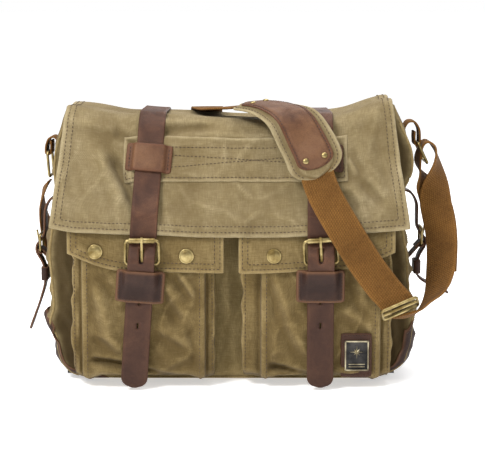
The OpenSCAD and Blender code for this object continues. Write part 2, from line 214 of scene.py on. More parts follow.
def ripple(x, y, size, seed, waves=7):
    """Gentle, repeatable unevenness, about -1 to 1."""
    draw = np.random.RandomState(seed)
    total = 0
    for _ in range(waves):
        turn = draw.uniform(0, TAU)
        length = size * draw.uniform(0.6, 1.5)
        start = draw.uniform(0, TAU)
        total = total + np.sin((x * math.cos(turn) + y * math.sin(turn)) * TAU / length + start)
    return total / waves * 1.6


def crumple(x, y, size, seed):
    """Sharp little ridges between soft hollows, as washed canvas has; 0 to about 1."""
    bent_x = x + 0.22 * size * ripple(x, y, size * 1.7, seed + 7)
    bent_y = y + 0.22 * size * ripple(y, x, size * 1.7, seed + 9)
    return np.clip(1 - 1.35 * np.abs(ripple(bent_x, bent_y, size, seed)), 0, 1) ** 1.6


def crease(x, y, start, end, depth, width, step=False):
    """A fold between two points, fading at its ends. A stepped one is high on its left side
    and low on its right side."""
    a, b = np.array(start, float), np.array(end, float)
    run = b - a
    length = math.hypot(*run)
    along = ((x - a[0]) * run[0] + (y - a[1]) * run[1]) / length ** 2
    off = ((y - a[1]) * run[0] - (x - a[0]) * run[1]) / length / width
    fade = np.exp(-(np.maximum(np.abs(2 * along - 1) - 0.55, 0) / 0.4) ** 2)
    profile = 1.65 * off if step else 1
    return depth * profile * np.exp(-off ** 2) * fade


def creases(x, y, rows):
    return sum(crease(x, y, *row) for row in rows)


def rounded(points, radius, step=2.5):
    """A polyline with its corners rounded, in even steps."""
    p = np.array(points, float)
    out = [p[0]]
    for i in range(1, len(p) - 1):
        before, after = p[i - 1] - p[i], p[i + 1] - p[i]
        reach = min(radius, 0.48 * np.linalg.norm(before), 0.48 * np.linalg.norm(after))
        a, b = p[i] + unit(before) * reach, p[i] + unit(after) * reach
        for t in np.linspace(0, 1, 9):
            out.append((1 - t) ** 2 * a + 2 * t * (1 - t) * p[i] + t * t * b)
    out.append(p[-1])
    return even(np.array(out), step)


def sample(at, s, field):
    """The rows of a field that is known at distances s, read at other distances."""
    return np.stack([np.interp(at, s, column) for column in np.asarray(field, float).T], -1)


def even(p, step):
    """The same line in even steps. Any columns after the first three ride along."""
    s = distance(p[:, :3])
    count = max(2, int(round(s[-1] / step)) + 1)
    return sample(np.linspace(0, s[-1], count), s, p)


def distance(p):
    """Distance along a line, at each of its points."""
    return np.concatenate([[0], np.cumsum(np.linalg.norm(np.diff(p, axis=0), axis=1))])


def spline(points, step=3.0, fine=14):
    """A smooth line through every point, in even steps. Extra columns ride along."""
    p = np.array(points, float)
    ends = np.vstack([2 * p[0] - p[1], p, 2 * p[-1] - p[-2]])
    out = []
    for i in range(len(p) - 1):
        a, b, c, d = ends[i:i + 4]
        for t in np.linspace(0, 1, fine, endpoint=False):
            out.append(0.5 * (2 * b + (c - a) * t + (2 * a - 5 * b + 4 * c - d) * t * t
                              + (3 * b - a - 3 * c + d) * t ** 3))
    out.append(p[-1])
    return even(np.array(out), step)


def arc(centre, radius, first, last, count=12):
    """Points on part of a circle, between two angles in degrees."""
    turn = np.radians(np.linspace(first, last, count))
    return [(centre[0] + radius * math.cos(a), centre[1] + radius * math.sin(a)) for a in turn]


def matched(a, b):
    return np.broadcast_arrays(np.asarray(a, float), np.asarray(b, float))


def square(count_u, count_v, flip=1):
    """A flat grid from -1 to 1 both ways. With flip -1 its second axis runs down."""
    return np.meshgrid(np.linspace(-1, 1, count_u), flip * np.linspace(-1, 1, count_v), indexing="ij")


def round_square(count_u, count_v, half_u, half_v, radius):
    """A flat grid over a rectangle with round corners."""
    u, v = square(count_u, count_v)
    u, v = u * half_u, v * half_v
    over_u = np.maximum(np.abs(u) - (half_u - radius), 0)
    over_v = np.maximum(np.abs(v) - (half_v - radius), 0)
    corner = np.maximum(over_u, over_v)
    shrink = np.where(corner > 0, corner / np.maximum(np.hypot(over_u, over_v), 1e-6), 1)
    return (np.sign(u) * (np.abs(u) - over_u + over_u * shrink),
            np.sign(v) * (np.abs(v) - over_v + over_v * shrink))


# ---- mesh makers --------------------------------------------------------------------

def make(name, points, faces, material, uv=None, wear=None, dirt=None, flat=False):
    """An object from points in millimetres. uv, wear and the amount of painted shade have one value for
    each point.
    """
    mesh = bpy.data.meshes.new(name)
    mesh.from_pydata((np.asarray(points, float) * MM).tolist(), [], faces)
    mesh.validate()
    if uv is not None:
        layer = mesh.uv_layers.new(name="cloth")
        index = np.zeros(len(mesh.loops), int)
        mesh.loops.foreach_get("vertex_index", index)
        layer.data.foreach_set("uv", (np.asarray(uv, float)[index] * MM).ravel())
    for title, values in (("wear", wear), ("dirt", dirt)):
        if values is not None:
            layer = mesh.attributes.new(title, "FLOAT", "POINT")
            layer.data.foreach_set("value", np.asarray(values, np.float32))
    mesh.polygons.foreach_set("use_smooth", [not flat] * len(mesh.polygons))
    mesh.materials.append(material)
    obj = bpy.data.objects.new(name, mesh)
    bpy.context.scene.collection.objects.link(obj)
    return obj


def solid(*how, **more):
    """What make gives, with every face turned outwards."""
    obj = make(*how, **more)
    build = bmesh.new()
    build.from_mesh(obj.data)
    bmesh.ops.recalc_face_normals(build, faces=build.faces)
    build.to_mesh(obj.data)
    build.free()
    return obj


def skin(name, rings, tips, material, uv=None, wear=None):
    """A closed skin over rings of points, with one more point at each end."""
    count, n = rings.shape[:2]
    around = [(k, (k + 1) % n) for k in range(n)]
    starts = range(0, (count - 1) * n, n)
    faces = [[i + k, i + m, i + n + m, i + n + k] for i in starts for k, m in around]
    for k, m in around:
        faces.append([m, k, count * n])
        faces.append([(count - 1) * n + k, (count - 1) * n + m, count * n + 1])
    return solid(name, np.vstack([rings.reshape(-1, 3), tips]), faces, material, uv=uv, wear=wear)


def reshape(obj, change):
    """Moves a piece's points by a function that works in millimetres."""
    places = np.zeros(len(obj.data.vertices) * 3)
    obj.data.vertices.foreach_get("co", places)
    obj.data.vertices.foreach_set("co", (change(places.reshape(-1, 3) / MM) * MM).ravel())


def place(obj, body, slot, *nodes):
    """Puts a piece on a CAD body and hides the nodes that it stands for; slot is not used."""
    if nodes:
        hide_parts(*nodes)
    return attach(obj, body)


def merge(name, parts):
    """Joins pieces into one object."""
    bpy.ops.object.select_all(action="DESELECT")
    for part in parts:
        part.select_set(True)
    bpy.context.view_layer.objects.active = parts[0]
    bpy.ops.object.join()
    parts[0].name = name
    return parts[0]


def grid_normals(grid):
    return unit(np.cross(np.gradient(grid, axis=0), np.gradient(grid, axis=1)))


def grid_uv(grid):
    """Distances along both directions of a grid, for a weave that follows the cloth."""
    du = np.linalg.norm(np.diff(grid, axis=0), axis=2)
    dv = np.linalg.norm(np.diff(grid, axis=1), axis=2)
    u = np.vstack([np.zeros(grid.shape[1]), np.cumsum(du, 0)])
    v = np.hstack([np.zeros((grid.shape[0], 1)), np.cumsum(dv, 1)])
    return np.stack([u - u.mean(0), v], 2)


def cloth(name, grid, thickness, material, wear_width=5.0, dirt=0.0):
    """A closed sheet with round edges, from a grid of points on its outer face. The normal
    is first axis x second axis."""
    nu, nv = grid.shape[:2]
    out = grid_normals(grid)
    thickness = np.broadcast_to(thickness, (nu, nv, 1))
    inner = grid - out * thickness
    uv = grid_uv(grid)
    count = nu * nv
    cell = np.arange(count).reshape(nu, nv)
    a, b, c, d = cell[:-1, :-1], cell[1:, :-1], cell[1:, 1:], cell[:-1, 1:]
    quads = np.stack([a, b, c, d], 2).reshape(-1, 4)
    loop = np.concatenate([cell[:-1, 0], cell[-1, :-1], cell[:0:-1, -1], cell[0, :0:-1]])
    edge_out = np.zeros_like(grid)
    edge_out[:, 0] += unit(grid[:, 0] - grid[:, 1])
    edge_out[:, -1] += unit(grid[:, -1] - grid[:, -2])
    edge_out[0] += unit(grid[0] - grid[1])
    edge_out[-1] += unit(grid[-1] - grid[-2])
    edge_out = unit(edge_out).reshape(-1, 3)[loop]
    middle = (grid.reshape(-1, 3)[loop] + inner.reshape(-1, 3)[loop]) / 2
    middle = middle + edge_out * thickness.reshape(-1, 1)[loop] * 0.45
    points = np.vstack([grid.reshape(-1, 3), inner.reshape(-1, 3), middle])
    faces = quads.tolist() + (quads[:, ::-1] + count).tolist()
    for k in range(len(loop)):
        p, q = int(loop[k]), int(loop[(k + 1) % len(loop)])
        mp, mq = 2 * count + k, 2 * count + (k + 1) % len(loop)
        faces.append([q, p, mp, mq])
        faces.append([mq, mp, p + count, q + count])
    flat = uv.reshape(-1, 2)
    border = np.minimum.reduce([
        uv[:, :, 0] - uv[:1, :, 0], uv[-1:, :, 0] - uv[:, :, 0],
        uv[:, :, 1] - uv[:, :1, 1], uv[:, -1:, 1] - uv[:, :, 1]]).ravel()
    wear = np.exp(-(border / wear_width) ** 2)
    wear = np.concatenate([wear, wear, np.ones(len(loop))])
    # How much painted shade each point carries.
    painted_shade_amount = np.broadcast_to(dirt, (nu, nv)).ravel()
    painted_shade_amount = np.concatenate([painted_shade_amount, painted_shade_amount, painted_shade_amount[loop]])
    return make(name, points, faces, material, np.vstack([flat, flat, flat[loop]]), wear, painted_shade_amount)


def ribbon(name, line, width, thickness, material, across=None, half=None, wave=0.25, seed=1,
           crown=0.0):
    """A strap with round edges along a line. across is its width direction, +X if it isn't
    given. half may give the half width at each distance along it."""
    line = np.array(line, float)
    s = distance(line)
    if across is None:
        across = np.tile([1.0, 0, 0], (len(line), 1))
    side = unit(across)
    out = unit(np.cross(side, np.gradient(line, axis=0)))
    full = np.full(len(s), width / 2) if half is None else half(s, s[-1])
    r = thickness / 2
    turn = np.radians([-90, -50, 0, 50, 90])
    inside = [0.8, 0.4, 0.0, -0.4, -0.8]
    shape = [(1, math.cos(t), math.sin(t)) for t in turn]
    shape += [(k, 0.0, 1.0) for k in inside]
    shape += [(-1, -math.cos(t), -math.sin(t)) for t in turn]
    shape += [(-k, 0.0, -1.0) for k in inside]
    shape = np.array(shape)
    edge = np.maximum(full - r, 0.01)
    p = shape[None, :, 0] * edge[:, None] + shape[None, :, 1] * np.minimum(r, full)[:, None]
    lift = wave * ripple(s[:, None], p * 0.7, 46, seed)
    q = shape[None, :, 2] * r + lift + crown * (1 - np.abs(shape[None, :, 0]) ** 2)
    rings = line[:, None] + side[:, None] * p[..., None] + out[:, None] * q[..., None]
    first = rings[0].mean(0) - unit(line[1] - line[0]) * r * 0.3
    last = rings[-1].mean(0) + unit(line[-1] - line[-2]) * r * 0.3
    uv = np.stack(np.broadcast_arrays(p, s[:, None]), 2).reshape(-1, 2)
    uv = np.vstack([uv, [0, s[0]], [0, s[-1]]])
    rub = smooth(0.86, 1.0, np.abs(p) / np.maximum(full[:, None], 0.1)).ravel()
    return skin(name, rings, [first, last], material, uv, np.append(rub, [1, 1]))


def tipped(half_width, tip, reach, power):
    """Half widths for a ribbon that ends in a rounded tip. reach is a little more than the
    tip, so that it ends blunt."""
    def half(s, length):
        past = np.clip(s - (length - tip), 0, tip)
        return np.maximum(half_width * np.sqrt(np.clip(1 - (past / reach) ** power, 0, 1)), 0.5)
    return half


def tube(name, line, radius, material, sides=8):
    """A round cord such as a piping edge, along a line, closed at both ends."""
    line = np.array(line, float)
    along = unit(np.gradient(line, axis=0))
    other = np.where(np.abs(along[:, 2:3]) < 0.9, [[0, 0, 1.0]], [[1.0, 0, 0]])
    a = unit(np.cross(along, other))
    b = np.cross(along, a)
    turn = np.linspace(0, TAU, sides, endpoint=False)
    rings = (line[:, None] + radius * (a[:, None] * np.cos(turn)[None, :, None]
                                       + b[:, None] * np.sin(turn)[None, :, None]))
    s = distance(line)
    uv = np.stack(np.broadcast_arrays(turn * radius, s[:, None]), 2).reshape(-1, 2)
    uv = np.vstack([uv, [0, 0], [0, s[-1]]])
    return skin(name, rings, line[[0, -1]], material, uv, np.full(len(uv), 0.6))


STITCH = 3.1
STITCH_PITCH = 4.4
THREAD = 0.42


def seam(points, normals, pitch=STITCH_PITCH, length=STITCH, thread=THREAD, sink=0.1):
    """Single stitches along a line on a surface, as (points, faces). Each is a short rod
    with pointed ends that dip into the cloth."""
    line = np.array(points, float)
    s = distance(line)
    count = max(1, int(s[-1] / pitch))
    at = (np.arange(count) + 0.5) * s[-1] / count
    middle = sample(at, s, line)
    up = unit(sample(at, s, normals))
    along = unit(sample(at + 0.5, s, line) - sample(at - 0.5, s, line))
    beside = unit(np.cross(up, along))
    verts, faces = [], []
    for i in range(count):
        base = len(verts)
        centre = middle[i] + up[i] * (thread - sink)
        verts.append(centre - along[i] * length / 2 - up[i] * thread)
        for f in (-0.28, 0.28):
            for dx, dz in ((1, 0), (0, 1), (-1, 0), (0, -1)):
                verts.append(centre + along[i] * f * length + beside[i] * dx * thread
                             + up[i] * dz * thread)
        verts.append(centre + along[i] * length / 2 - up[i] * thread)
        for k in range(4):
            m = (k + 1) % 4
            faces.append([base, base + 1 + m, base + 1 + k])
            faces.append([base + 1 + k, base + 1 + m, base + 5 + m, base + 5 + k])
            faces.append([base + 5 + k, base + 5 + m, base + 9])
    return verts, faces


def stitching(name, seams, material):
    """One object from several seams."""
    verts, faces = [], []
    for v, f in seams:
        base = len(verts)
        verts += v
        faces += [[base + k for k in face] for face in f]
    return solid(name, verts, faces, material)


def sew(name, seams, thread, body, slot):
    """Stitches that ride on one body."""
    place(stitching(name, seams, thread), body, slot)


def surface_normal(surface, a, b):
    """The normal of a surface function of two coordinates."""
    du = surface(a + 0.5, b) - surface(a - 0.5, b)
    dv = surface(a, b + 0.5) - surface(a, b - 0.5)
    return unit(np.cross(du, dv))


def surface_seam(surface, a, b, facing=1, **how):
    """A seam on a surface function of two coordinates, along matching lists a and b. facing
    is -1 where the second coordinate runs down."""
    a, b = matched(a, b)
    return seam(surface(a, b), surface_normal(surface, a, b) * facing, **how)


# ---- materials ------------------------------------------------------------------------

def srgb(r, g, b):
    """A colour given as it looks on screen, 0 to 255, as the shader's linear numbers."""
    return tuple(((c / 255 + 0.055) / 1.055) ** 2.4 if c > 10 else c / 255 / 12.92
                 for c in (r, g, b)) + (1.0,)


class Paint:
    """A node material in the making. Sockets given a node output are linked to it."""

    def __init__(self, name, **constants):
        self.material = bpy.data.materials.new(name)
        self.material.use_nodes = True
        self.tree = self.material.node_tree
        self.shader = self.tree.nodes["Principled BSDF"]
        for socket, value in constants.items():
            self.shader.inputs[socket.replace("_", " ")].default_value = value

    def add(self, kind, output=0, settings=(), **sockets):
        node = self.tree.nodes.new("ShaderNode" + kind)
        for key, value in dict(settings).items():
            setattr(node, key, value)
        for key, value in sockets.items():
            socket = node.inputs[int(key[1:]) if key[1:].isdigit() else key.replace("_", " ")]
            self.put(socket, value)
        return node.outputs[output]

    def put(self, socket, value):
        if isinstance(value, bpy.types.NodeSocket):
            self.tree.links.new(value, socket)
        else:
            socket.default_value = value

    def cloth_map(self, scale=(1, 1, 1), turn=0.0):
        """Metres along and across the piece, from its own map."""
        where = self.add("UVMap", settings={"uv_map": "cloth"})
        return self.add("Mapping", Vector=where, Scale=scale, Rotation=(0, 0, turn))

    def object_map(self, scale=(1, 1, 1)):
        where = self.add("TexCoord", output=3)
        return self.add("Mapping", Vector=where, Scale=scale)

    def noise(self, vector, scale, detail=3, rough=0.55, distortion=0.0):
        return self.add("TexNoise", Vector=vector, Scale=scale, Detail=detail, Roughness=rough,
                        Distortion=distortion)

    def wave(self, vector, pitch, distortion=0.0, direction="X", detail_scale=1.0):
        return self.add("TexWave", output=1,
                        settings={"bands_direction": direction, "wave_profile": "SIN"},
                        Vector=vector, Scale=TAU / 20 / pitch, Distortion=distortion,
                        Detail_Scale=detail_scale)

    def math(self, kind, a, b=0.5):
        return self.add("Math", settings={"operation": kind}, _0=a, _1=b)

    def mix(self, factor, a, b, kind="MIX"):
        return self.add("Mix", output=2, settings={"data_type": "RGBA", "blend_type": kind},
                        _0=factor, _6=a, _7=b)

    def spread(self, value, low_in, high_in, low_out=0.0, high_out=1.0):
        return self.add("MapRange", Value=value, From_Min=low_in, From_Max=high_in,
                        To_Min=low_out, To_Max=high_out)

    def ramp(self, value, *stops):
        node = self.tree.nodes.new("ShaderNodeValToRGB")
        self.tree.links.new(value, node.inputs[0])
        while len(node.color_ramp.elements) < len(stops):
            node.color_ramp.elements.new(0.5)
        for element, (at, colour) in zip(node.color_ramp.elements, stops):
            element.position = at
            element.color = colour
        return node.outputs[0]

    def edges(self, low_in=0.485, high_in=0.53):
        """0 in hollows and 1 on raised ridges and edges, from the mesh's pointiness: the mask for
        painted shade and painted highlights on cloth and leather, and for tarnish on metal.
        """
        point = self.add("NewGeometry", output="Pointiness")
        return self.spread(point, low_in, high_in)

    def hollows(self, base, deep, amount, *window):
        """The same colour, but darker in hollows: painted shade on cloth and leather, tarnish on metal.
        """
        return self.mix(self.spread(self.edges(*window), 0, 1, amount, 0), base, deep)

    def height(self, low_in, high_in):
        """0 to 1 between two heights in metres, on the bag as it stands."""
        where = self.add("TexCoord", output=3)
        return self.spread(self.add("SeparateXYZ", output=2, Vector=where), low_in, high_in)

    def wear(self, name="wear"):
        """A value that the piece's points carry, by name: how worn it is there, and for the painted
        shade attribute, how much painted shade it gets.
        """
        return self.add("Attribute", output=2, settings={"attribute_name": name})

    def bumps(self, *layers):
        """Stacks bump maps, each (height, strength, depth in metres)."""
        normal = None
        for height, strength, depth in layers:
            sockets = {"Height": height, "Strength": strength, "Distance": depth}
            if normal is not None:
                sockets["Normal"] = normal
            normal = self.add("Bump", **sockets)
        self.put(self.shader.inputs["Normal"], normal)

    def finish(self, colour, roughness=None):
        self.put(self.shader.inputs["Base Color"], colour)
        if roughness is not None:
            self.put(self.shader.inputs["Roughness"], roughness)
        return self.material


# The colour of the painted shade that canvas pieces carry where they lie in shade.
PAINTED_SHADE_COLOUR = srgb(62, 49, 27)


def canvas_paint(name, pale, mid, deep, seed=0.0):
    """Washed cotton twill: slubby yarns, a cloudy wash and pale worn hems, with painted shade in its
    hollows and where a piece carries it, and painted highlights on its ridges.
    """
    p = Paint(name, Sheen_Weight=0.05, Sheen_Roughness=0.6, Specular_IOR_Level=0.1)
    space = p.object_map()
    shifted = p.add("Mapping", Vector=space, Location=(seed, seed * 0.7, 0))
    cloud = p.noise(shifted, 16, 4, 0.6)
    mottle = p.noise(shifted, 85, 3, 0.6)
    weave = p.cloth_map()
    slub_a = p.noise(p.cloth_map((750, 95, 1)), 1, 3, 0.65)
    slub_b = p.noise(p.cloth_map((95, 700, 1)), 1, 3, 0.65)
    twill = p.wave(p.cloth_map(turn=math.radians(58)), 0.00125, 1.4, detail_scale=400)
    pick = p.wave(weave, 0.0008, 0.6, "Y", detail_scale=300)
    base = p.ramp(cloud, (0.30, deep), (0.47, mid), (0.66, pale))
    base = p.mix(p.spread(mottle, 0.35, 0.7, 0, 0.35), base, pale)
    fleck = p.math("MULTIPLY", slub_a, slub_b)
    base = p.mix(p.spread(fleck, 0.16, 0.34, 0.55, 0.0), base, deep)
    base = p.mix(p.spread(fleck, 0.27, 0.42, 0.0, 0.25), base, pale)
    base = p.mix(p.spread(twill, 0.1, 0.8, 0.32, 0), base, deep)
    # Painted shade in hollows.
    base = p.hollows(base, deep, 0.6)
    # Painted highlights on raised ridges.
    base = p.mix(p.math("MULTIPLY", p.edges(0.505, 0.55), 0.16), base, pale)
    # Painted shade, as much as the piece's points carry.
    base = p.mix(p.wear("dirt"), base, PAINTED_SHADE_COLOUR)
    rub = p.math("MULTIPLY", p.wear(), p.spread(mottle, 0.3, 0.65, 0.1, 0.45))
    base = p.mix(rub, base, pale)
    p.bumps((cloud, 0.45, 0.006), (mottle, 0.3, 0.002), (p.math("ADD", slub_a, slub_b), 0.3, 0.0004),
            (p.math("ADD", twill, p.math("MULTIPLY", pick, 0.6)), 0.55, 0.00022))
    return p.finish(base, p.spread(mottle, 0.3, 0.7, 0.95, 0.8))


def leather_paint(name, pale, mid, deep, edge, gloss=0.5):
    """Oiled leather: pulled-up pale patches, fine creased grain and rubbed edges, with painted shade in
    its hollows and low down on the bag.
    """
    p = Paint(name, Specular_IOR_Level=0.22, Coat_Weight=0.02, Coat_Roughness=0.4)
    space = p.object_map()
    cloud = p.noise(space, 28, 5, 0.65, 0.6)
    scuff = p.noise(p.object_map((60, 60, 240)), 1, 4, 0.7, 1.2)
    grain = p.add("TexVoronoi", settings={"feature": "DISTANCE_TO_EDGE"}, Vector=space, Scale=900)
    pores = p.noise(space, 1600, 2)
    base = p.ramp(cloud, (0.30, deep), (0.50, mid), (0.72, pale))
    base = p.mix(p.spread(scuff, 0.55, 0.75, 0, 0.5), base, pale)
    base = p.mix(p.spread(grain, 0.0, 0.18, 0.45, 0), base, deep)
    # Painted shade in hollows.
    base = p.hollows(base, deep, 0.55)
    # Painted shade low down on the bag, darkest below 0.11 m.
    base = p.mix(p.math("MULTIPLY", p.height(0.19, 0.11), 0.45), base, deep)
    base = p.mix(p.math("MULTIPLY", p.wear(), 0.75), base, edge)
    p.bumps((cloud, 0.12, 0.002), (scuff, 0.12, 0.0008), (p.math("MINIMUM", grain, 0.2), 0.5, 0.0012),
            (pores, 0.15, 0.0003))
    return p.finish(base, p.spread(cloud, 0.3, 0.7, gloss + 0.12, gloss - 0.05))


def webbing_paint(name, pale, deep):
    """Heavy cotton webbing: rows of small ribs along it, crossed by a tight weft."""
    p = Paint(name, Sheen_Weight=0.05, Sheen_Roughness=0.5, Specular_IOR_Level=0.1)
    space = p.object_map()
    cloud = p.noise(space, 24, 4, 0.6)
    fibre = p.noise(p.cloth_map((900, 260, 1)), 1, 3)
    rows = p.wave(p.cloth_map(), 0.0026, 0.8, "X", detail_scale=250)
    picks = p.wave(p.cloth_map(turn=math.radians(28)), 0.0024, 1.0, "Y", detail_scale=250)
    knit = p.math("MULTIPLY", rows, picks)
    base = p.ramp(cloud, (0.32, deep), (0.68, pale))
    dark = tuple(0.6 * c for c in deep[:3]) + (1.0,)
    base = p.mix(p.spread(knit, 0.05, 0.5, 0.75, 0), base, dark)
    base = p.mix(p.spread(fibre, 0.4, 0.75, 0, 0.5), base, pale)
    # Painted shade in hollows.
    base = p.hollows(base, deep, 0.4)
    base = p.mix(p.math("MULTIPLY", p.wear(), 0.3), base, pale)
    p.bumps((fibre, 0.2, 0.0005), (knit, 0.85, 0.0006))
    return p.finish(base, p.spread(fibre, 0.3, 0.7, 0.9, 0.75))


def metal_paint(name, bright, dull, shine):
    """Plated metal, dulled and darker in its corners."""
    p = Paint(name, Metallic=1.0)
    space = p.object_map()
    spots = p.noise(space, 70, 4, 0.6)
    scratch = p.noise(p.object_map((300, 1600, 300)), 1, 3)
    base = p.mix(p.spread(spots, 0.38, 0.68), dull, bright)
    base = p.hollows(base, dull, 0.7, 0.47, 0.52)
    p.bumps((spots, 0.05, 0.0003), (scratch, 0.06, 0.0001))
    return p.finish(base, p.spread(spots, 0.3, 0.7, shine + 0.2, shine))


def plain_paint(name, pale, deep, scale, rough, bump=0.3, **constants):
    """Thread, lining, board and steel: one fine texture each."""
    p = Paint(name, **constants)
    space = p.object_map()
    fine = p.noise(space, scale, 3, 0.6)
    wide = p.noise(space, 30, 3)
    base = p.mix(p.spread(fine, 0.35, 0.65), deep, pale)
    base = p.mix(p.spread(wide, 0.4, 0.7, 0, 0.35), base, deep)
    p.bumps((fine, bump, 0.0004))
    return p.finish(base, p.spread(fine, 0.3, 0.7, rough + 0.1, rough - 0.1))


# Three copies of one canvas: the flap's own, a lighter one on the front wall as painted light, and a
# darker one on the pockets, their flaps, the ends, back, bottom and piping as painted shade.
CANVAS = canvas_paint("washed_canvas", srgb(168, 153, 119), srgb(144, 128, 92), srgb(104, 88, 58))
CANVAS_LIT_BODY = canvas_paint("body_canvas", srgb(180, 160, 114), srgb(158, 138, 92),
                           srgb(114, 96, 60), 1.7)
CANVAS_SHADE = canvas_paint("shaded_canvas", srgb(158, 138, 95), srgb(132, 112, 71),
                            srgb(88, 71, 40), 3.1)
LINING = plain_paint("lining_cotton", srgb(120, 112, 88), srgb(92, 84, 62), 900, 0.85)
LEATHER = leather_paint("oiled_leather", srgb(114, 76, 52), srgb(82, 52, 36), srgb(52, 32, 24),
                        srgb(70, 44, 30))
RED_LEATHER = leather_paint("reddish_leather", srgb(136, 98, 66), srgb(108, 74, 50),
                            srgb(74, 47, 32), srgb(86, 52, 34))
DARK_LEATHER = leather_paint("dark_leather", srgb(90, 60, 44), srgb(64, 41, 31), srgb(40, 25, 20),
                             srgb(112, 78, 54))
WEBBING = webbing_paint("tan_webbing", srgb(142, 99, 48), srgb(92, 61, 26))
THREAD_DARK = plain_paint("dark_thread", srgb(92, 72, 50), srgb(60, 44, 32), 2500, 0.75)
THREAD_BROWN = plain_paint("brown_thread", srgb(70, 44, 34), srgb(44, 28, 22), 2500, 0.7)
BRASS = metal_paint("aged_brass", srgb(186, 168, 118), srgb(116, 98, 58), 0.3)
PEWTER = metal_paint("dark_pewter", srgb(70, 68, 66), srgb(40, 39, 40), 0.4)
PEWTER_BRIGHT = metal_paint("rubbed_pewter", srgb(190, 180, 150), srgb(120, 110, 90), 0.35)
STEEL = metal_paint("magnet_steel", srgb(200, 200, 200), srgb(130, 130, 130), 0.3)
BOARD = plain_paint("base_board", srgb(70, 68, 64), srgb(48, 46, 44), 500, 0.7)


# ---- body -----------------------------------------------------------------------------

LEFT_OUTLINE = [(0, 168), (5, 182), (16, 195), (30, 201), (50, 204), (66, 211), (82, 207),
                (111, 208), (152, 210), (180, 206), (210, 202), (250, 203), (270, 200),
                (290, 193), (315, 186)]
RIGHT_OUTLINE = [(0, 170), (14, 197), (33, 207), (62, 212), (80, 213), (100, 208), (142, 205),
                 (180, 199), (215, 198), (240, 209), (262, 209), (290, 198), (315, 187)]
DEPTH_OUTLINE = [(0, 56), (5, 60), (14, -FRONT), (22, -FRONT), (40, -FRONT), (320, -FRONT)]
CORNER_R = 11
HALF_WIDTH = 200
CINCH_X = 199.6
CLOTH_T = 2.4
WALL_TOP = 293
RIM_SAMPLE_Z = 300.0

LEFT_END_FOLDS = [
    ((-60, 72), (28, 66), 5.5, 6.5), ((-60, 58), (10, 55), -5, 6),
    ((-58, 96), (-8, 124), 4, 8, True), ((-60, 138), (-14, 118), 4, 8, True),
    ((-56, 178), (-20, 146), 3.5, 8), ((-30, 292), (-34, 222), -7, 9),
    ((-56, 214), (-24, 190), -4, 8), ((20, 286), (14, 224), -5, 9),
    ((24, 150), (58, 120), 4, 9, True), ((56, 80), (12, 96), 4, 8, True),
    ((-48, 30), (40, 22), 3, 8)]
RIGHT_END_FOLDS = [
    ((-58, 84), (24, 80), 4, 8), ((-60, 62), (10, 66), -4, 7),
    ((-58, 116), (-12, 134), 5, 8, True), ((-56, 166), (-18, 140), 4, 8, True),
    ((-58, 196), (-20, 206), -5, 8), ((-36, 296), (-30, 232), -6, 9),
    ((-56, 250), (-18, 226), 4, 9, True), ((22, 290), (18, 220), -5, 9),
    ((26, 146), (58, 168), 4, 9, True), ((56, 92), (14, 84), 4, 8, True),
    ((-50, 28), (40, 34), 3, 8)]
FRONT_FOLDS = [
    ((-196, 168), (-184, 96), 3, 5), ((-188, 128), (-200, 70), -3, 5),
    ((-200, 84), (-180, 60), 4, 6, True), ((-198, 44), (-182, 30), 3, 5),
    ((190, 90), (200, 30), -4, 5), ((184, 76), (194, 18), 4, 5),
    ((186, 160), (202, 130), 4, 7, True), ((196, 190), (184, 168), 3, 6),
    ((-10, 150), (4, 20), 2.5, 7), ((6, 120), (-6, 30), -2, 6)]
BACK_FOLDS = [
    ((-190, 60), (-120, 30), 3, 12, True), ((190, 70), (120, 24), -3, 12, True),
    ((-190, 240), (-130, 200), 2.5, 14, True), ((180, 250), (120, 190), 2.5, 14, True),
    ((-60, 40), (60, 34), 2, 12), ((-20, 230), (30, 120), 1.6, 20, True)]


def top_lift(x):
    """The bag's top rises towards its stiff corners and sags between the straps."""
    return 9.5 * smooth(112, 180, np.abs(x)) + 7 * smooth(125, 182, x) - 5 * bump(x, 18, 58)


def side_line(a, half, radius):
    """Along one side of a rounded rectangle, a from -1 to 1 between the middles of its
    corners: distance along, distance out, and the normal's two parts."""
    bend = radius * math.pi / 4
    s = a * (half - radius + bend)
    turn = np.clip(np.abs(s) - (half - radius), 0, bend) / radius
    along = np.sign(s) * (np.minimum(np.abs(s), half - radius) + radius * np.sin(turn))
    return along, radius * (np.cos(turn) - 1), np.sign(s) * np.sin(turn), np.cos(turn)


def end_width(y, z, outline):
    """Half width of the bag: the straps hold the middle of each end in."""
    held = smooth(84, 104, z) * bump(y, 0, 21)
    full = table(z, outline)
    return full + (np.minimum(full, CINCH_X) - full) * held


